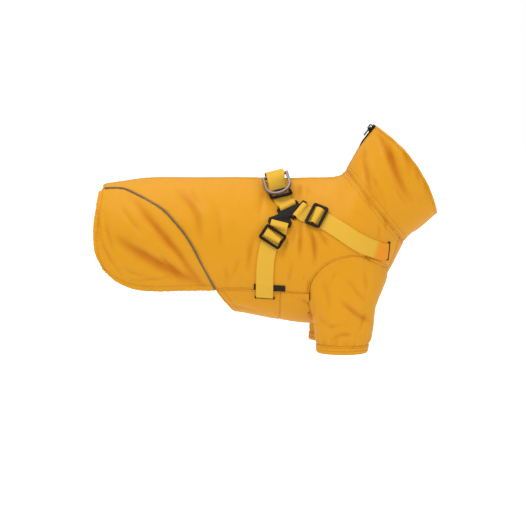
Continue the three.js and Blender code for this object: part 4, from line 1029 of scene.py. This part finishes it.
def tube_normals(grid, first=None):
    """Outward normals of a tube; its first ring may be given others to start from."""
    down = np.gradient(grid, axis=0)
    around = np.roll(grid, -1, axis=1) - np.roll(grid, 1, axis=1)
    out = unit(np.cross(around, down))
    middle = grid.mean(1, keepdims=True)
    out = np.where(((grid - middle) * out).sum(-1, keepdims=True) < 0, -out, out)
    if first is not None:
        share = (1 - smoothstep(np.arange(len(grid)), 0, 9))[:, None, None]
        out = unit(out + (first[None] - out) * share)
    return out


def gathered(turned, beats, wander, slow):
    """Uneven ripple round a tube, about so many waves in all."""
    return np.sin(turned * beats + wander * np.sin(turned * slow))


def bump_at(share, narrow):
    return np.exp(-((share * narrow) ** 2))


def tube_piece(name, grid, out, height, wall, marks, turn):
    """Closed tube of shell on one flank from its rings, with its outer points and normals."""
    outer, out = (grid + out * height[..., None]) * [1, turn, 1], out * [1, turn, 1]
    piece = sewn_shell(name, outer.swapaxes(0, 1), out.swapaxes(0, 1), wall, marks.T, loop=True)
    return dress(piece, shell_cloth), outer, out


start_z = armhole_line[None, :, 2]
seam_run = run_along(armhole_line)
turned = np.arange(len(armhole)) / len(armhole) * 2 * np.pi
sleeve_shares = np.concatenate([[0, 0.006, 0.012, 0.02, 0.03, 0.042], np.linspace(0.055, 1, 66)])[:, None]
cuff_levels = np.concatenate([
    [CUFF["top"] + CUFF["tucked"], CUFF["top"] + 0.3], np.linspace(CUFF["top"] - 0.15, CUFF["bottom"], 22),
])
for hand, turn in HANDS:
    swing = HIDDEN_SWING if hand == "left" else 0
    share = sleeve_shares
    z = start_z + (CUFF["top"] + 0.15 - start_z) * share
    grid = sleeve_tube(z, (start_z - z) / (start_z - CUFF["top"]), swing)
    out = tube_normals(grid, armhole_out)
    sink = fold_sink(sleeve_folds, grid) * (out[..., 1] < 0.3)
    sink += rumple(grid, 0.5) * smoothstep(share, 0.02, 0.2)
    above_cuff = grid[..., 2] - CUFF["top"]
    gather = gathered(turned, 17, 1.4, 3) + 0.5 * np.sin(turned * 29 + 2)
    sink += 0.55 * (1 + gather) * bump_at(above_cuff, 1 / 12) * smoothstep(above_cuff, 0, 2)
    sink += 0.5 * bump_at(share, 55) + 0.5 * bump_at(above_cuff, 1 / 1.2)
    easing = np.sin((seam_run + 2 * np.sin(seam_run * 0.2)) * 2 * np.pi / 7)
    sink += 0.3 * (1 + easing) * bump_at(share, 14) * smoothstep(share, 0.004, 0.03)
    piece, _outer, _out = tube_piece(f"sleeve_cloth_{hand}", grid, out, CLOTH - sink, SHELL_WALL, sink, turn)
    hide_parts(f"sleeve_{hand}")

    z = cuff_levels[:, None] + 0 * start_z
    grid = sleeve_tube(z, (start_z - z) / (start_z - CUFF["top"]), swing)
    down = (CUFF["top"] - z) / (CUFF["top"] - CUFF["bottom"])
    sink = 0.7 * (bump_at(down, 9) + bump_at(1 - down, 9))
    sink += 0.3 * (bump_at(down - 0.18, 16) + bump_at(down - 0.58, 16))
    sink += 0.22 * (1 + gathered(turned, 31, 1.2, 5)) + CUFF["height"] * (z > CUFF["top"])
    piece, outer, out = tube_piece(
        f"cuff_band_{hand}", grid, tube_normals(grid), CUFF["height"] - sink, CUFF["wall"], sink, turn
    )
    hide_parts(f"cuff_{hand}")
    closed = [[np.vstack([ring, ring[:1]]) for ring in (outer[level], out[level])] for level in (6, 14)]
    stitches(f"cuff_stitching_{hand}", closed)

# Side label, a small blank tab of black tape sewn in above the belly seam and
# partly under the girth strap.
LABEL = {"rear": -54, "length": 36, "top": -114.5, "low": -121.5, "fall": 2, "raised": 0.85, "wall": 0.5}
label_share = np.linspace(0, 1, 24)
label_x = LABEL["rear"] + LABEL["length"] * label_share
label_rows = [
    flank_places(np.stack([label_x, high - LABEL["fall"] * label_share], -1))
    for high in np.linspace(LABEL["top"], LABEL["low"], 9)
]
point, out = skin_at(np.stack(label_rows, 1))
tape_edge = np.minimum(label_share, 1 - label_share)[:, None] * LABEL["length"]
stitch_line = 0.12 * np.exp(-(((tape_edge - 1.5) / 0.5) ** 2))
outer = point + out * (CLOTH + LABEL["raised"] - stitch_line)[..., None]
label = sewn_shell("label_tape", outer, out, LABEL["wall"], np.zeros(outer.shape[:2]))
dress(label, lining_cloth)
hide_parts("side_label")

# Harness straps of 20 mm woven webbing. The girth and chest straps leave a
# three-bar slider and go into the coat; the back strap is lifted into a loop
# round the lead ring's bar.
WEBBING = {"width": 20, "wall": 1.5}
HALF_GAP = 0.3
SLIDER = {"length": 19, "bar": 3, "middle": 2.4, "depth": 2.4}
LABEL_WALL = 0.6
WEBBING_COLOUR = (0.67, 0.385, 0.034)
shoulder_route = [(-24, -17), (-29, -7)]
girth_route = [(-31.3, -59.6), (-36.5, -69), (-40.5, -88), (-41.5, -110), (-41.5, -130)]
chest_route = [(19.5, -40), (45, -54), (62, -65), (78, -73), (99, -79)]
PLATE = {"x": -16.2, "z": -35.5, "depth": 2.6, "bar": 2.4, "lift": 0.6, "bar_at": 6}
# each bar of the plate: the way it faces and its middle in the plate's plane
plate_bars = {"shoulder": (118, 0, 8.8), "girth": (-105, -8.9, -16.3), "chest": (-36, 15.2, 1.6)}
# the webbing's second colour is painted shade at the chest strap's end, and slight random unevenness
webbing_cloth = woven_material("webbing_cloth", WEBBING_COLOUR, (0.72, 0.26, 0.01), 3000, 0.8, 0.7, 0.05)


def strap_line(places):
    return through(places, 400)


def on_strap(line, at):
    """Place, point, normal, direction and crosswise direction at distances."""
    run = run_along(body_point(line))

    def place(distance):
        return np.stack([np.interp(distance, run, line[:, 0]), np.interp(distance, run, line[:, 1])], -1)

    here = place(at)
    point, _along_s, _along_t, out = body_frame(here)
    along = body_point(place(at + 0.5)) - body_point(place(at - 0.5))
    along = unit(along - out * (along * out).sum(-1, keepdims=True))
    return here, point, out, along, np.cross(along, out)


def strap(name, line, start, end, humps=(), base=CLOTH + HALF_GAP, wall=WEBBING["wall"], foot=None, shaded=0):
    """Webbing laid on the coat, lifted by humps (at, half its level part, slope, height, tilt).

    Up to its foot the underside stays down, where the webbing comes up through a slot.
    The last part of its length, shaded, gets painted shade where it dips into a slit.
    """
    at = np.arange(start, end + 0.01, 0.8)
    at[-1] = end
    if foot is not None:
        at = at[(np.abs(at - foot) > 0.2) | (at == start)]
        at = np.sort(np.append(at, [foot, foot + 0.05]))
    here, point, out, _along, across = on_strap(line, at)
    half = WEBBING["width"] / 2
    across_shares = np.array([-1, -0.96, -0.8, -0.6, -0.4, -0.2, 0, 0.2, 0.4, 0.6, 0.8, 0.96, 1])
    layers = []
    for layer, height in (("under", 0), ("over", wall)):
        for share in across_shares if layer == "under" else across_shares[::-1]:
            aside = share * half
            round_edge = 0.32 * wall * (1 if abs(share) == 1 else 0)
            extra = height + (round_edge if layer == "under" else -round_edge)
            beside, _s, _t, beside_out = body_frame(walk(here, across * aside)) if aside else (point, 0, 0, out)
            lying = beside + beside_out * (base + extra)
            for hump_at, flat, ramp, high, tilt in humps:
                rise = smoothstep(1 - (np.abs(at - hump_at) - flat) / ramp, 0, 1)[:, None]
                if layer == "under" and foot is not None:
                    rise = rise * (at > foot)[:, None]
                lean = tilt * across[:, :1] * aside
                lifted = point + across * aside + out * (base + extra + high + lean)
                lying = lying + (lifted - lying) * rise
            layers.append(lying)
    piece = swept(name, np.stack(layers, 1))
    # painted shade on the strap's last part, full at its end
    painted_shade = 3.6 * smoothstep(at, end - shaded, end - 0.6 * shaded) if shaded else np.zeros(len(at))
    painted_shades = np.repeat(painted_shade, len(layers)).astype(np.float32)
    piece.data.attributes["shade_depth"].data.foreach_set("value", painted_shades)
    dress(piece, webbing_cloth)
    return piece


def plate_seat(turn):
    """Place, point, normal, forward and upward direction of the plate on one flank."""
    place = flank_places([(PLATE["x"], PLATE["z"])])[0] * [1, turn]
    point, _along_s, _along_t, out = body_frame(place)
    forward = unit(np.array([1, 0, 0]) - out * out[0])
    upward = np.array([0, 0, 1]) - out * out[2]
    upward = unit(upward - forward * (upward @ forward))
    return place, point, out, forward, upward


def on_plate(bar, seat, outward):
    toward, x, y = plate_bars[bar]
    _place, _point, _out, forward, upward = seat
    ahead, above = np.cos(radians(toward)) * outward, np.sin(radians(toward)) * outward
    return forward * (x + ahead) + upward * (y + above)


def bar_places(bar, seat):
    moves = np.stack([on_plate(bar, seat, outward) for outward in (-PLATE["bar_at"], 0, PLATE["bar_at"])])
    return walk(np.repeat(seat[0][None], 3, 0), moves, 12)


def strap_from_plate(bar, seat, further):
    """Line of a strap from its bar, its start, foot and the hump over the bar."""
    line = strap_line(np.vstack([bar_places(bar, seat), further]))
    _place, point, out, _forward, _upward = seat
    bar_top = point + on_plate(bar, seat, 0) + out * (CLOTH + HALF_GAP + PLATE["lift"] + PLATE["depth"])
    _here, under, under_out, _along, _across = on_strap(line, np.array([float(PLATE["bar_at"])]))
    high = (bar_top - under[0]) @ under_out[0] + 1 - CLOTH
    lean = max(0, under_out[0] @ (on_plate(bar, seat, 1) - on_plate(bar, seat, 0))) * (high + CLOTH)
    foot = PLATE["bar_at"] - PLATE["bar"] / 2 - HALF_GAP - 0.05 - lean
    hump = (PLATE["bar_at"], PLATE["bar"] / 2 + 0.5 + lean / 2, 3.6, high, 0)
    return line, foot - WEBBING["wall"] + 0.1, foot, hump


black_slit = hard_material("slit_edge", (0.014, 0.009, 0.006), 0, 0.7, 900, 0.8)


def slit(name, line, at, reach=11.4):
    """Bound slit in the coat where a strap goes in, with a bar tack at each end."""
    here, _point, _out, along, across = on_strap(line, np.array([float(at)]))
    steps = np.linspace(-reach, reach, 40)
    places = walk(np.repeat(here, 40, 0), across * steps[:, None])
    point, _s, _t, out = body_frame(places)
    bulge = 1 + 0.7 * (np.abs(steps) > reach - 1.8)
    section = [(-0.75, 0), (-0.7, 1.8), (0, 2.3), (0.7, 1.8), (0.75, 0)]
    lines = [point + along * (1.2 + a * bulge[:, None]) + out * (CLOTH - 0.1 + h) for a, h in section]
    return dress(swept(name, np.stack(lines, 1)), black_slit)


slider_window = (SLIDER["length"] - 2 * SLIDER["bar"] - SLIDER["middle"]) / 2
slider_height = SLIDER["depth"] + WEBBING["wall"] + 2 * HALF_GAP + 0.6
over_bar = (SLIDER["middle"] / 2 + 0.6, slider_window - 1, slider_height, 0)
STRAP_RING_AT = 23.7
GIRTH_SLIDER_AT = 21.6
CHEST_SLIDER_AT = 27.3
SLIDER_PLAY = 0.4
RING_GAP = 1.2
RING_FROM_SPINE = 12.5
spine_place = np.array([[-32, 0]])
for hand, turn in HANDS:
    seat = plate_seat(turn)
    line, start, foot, hump = strap_from_plate(
        "shoulder", seat, np.vstack([flank_places(shoulder_route), spine_place]) * [1, turn]
    )
    piece = strap(f"shoulder_webbing_{hand}", line, start, STRAP_RING_AT - RING_GAP, [hump], foot=foot)
    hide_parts(f"shoulder_strap_{hand}")

    line, start, foot, hump = strap_from_plate("girth", seat, flank_places(girth_route) * [1, turn])
    total = run_along(body_point(line))[-1]
    flat, ramp, high, tilt = over_bar
    over_label = (total, 17, 5, LABEL_WALL + HALF_GAP + 0.1, 0)
    humps = [hump, (GIRTH_SLIDER_AT, flat, ramp, high + SLIDER_PLAY, tilt), over_label]
    piece = strap(f"girth_webbing_{hand}", line, start, total, humps, foot=foot)
    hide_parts(f"girth_strap_{hand}")
    slit(f"girth_slit_{hand}", line, total)
    girth_end = line[-1] * [1, turn]

    line, start, foot, hump = strap_from_plate("chest", seat, flank_places(chest_route) * [1, turn])
    total = run_along(body_point(line))[-1]
    humps = [hump, (CHEST_SLIDER_AT, flat, ramp, high + SLIDER_PLAY, tilt)]
    piece = strap(f"chest_webbing_{hand}", line, start, total, humps, foot=foot, shaded=25)
    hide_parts(f"chest_strap_{hand}")
    slit(f"chest_slit_{hand}", line, total)
    chest_end = line[-1] * [1, turn]
    for node in ("strap_plate", "strap_ring", "girth_slider", "chest_slider"):
        name = f"{node.replace('strap_', 'harness_')}_moulding_{hand}"
        moulded(f"{node}_{hand}", name, black_plastic, 0.45)

half_back = flank_places(shoulder_route)
plate_ends = [bar_places("shoulder", plate_seat(turn)) for turn in (1, -1)]
back_line = strap_line(np.vstack([
    plate_ends[0], half_back, spine_place, half_back[::-1] * [1, -1], plate_ends[1][::-1],
]))
back_total = run_along(body_point(back_line))[-1]
lead_ring_at = back_total / 2 - RING_FROM_SPINE
back_from = STRAP_RING_AT + RING_GAP
piece = strap("back_webbing", back_line, back_from, back_total - back_from, [(lead_ring_at, 2.4, 17, 12, 0.28)])
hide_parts("back_strap")
gunmetal = hard_material("gunmetal", (0.13, 0.1, 0.095), 1, 0.34, 700, 0.25)
moulded("lead_ring", "lead_ring_metal", gunmetal, 0.3, "lead_ring")
for name, ends, middle in (("girth", girth_end, (-36, 1)), ("chest", chest_end, (74, 1))):
    line = strap_line(np.array([ends, middle, under_mirrored(ends)]))
    piece = strap(f"inner_{name}_webbing", line, 0, run_along(body_point(line))[-1], (), -2.0, 1.4)
    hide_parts(f"inner_{name}_strap")
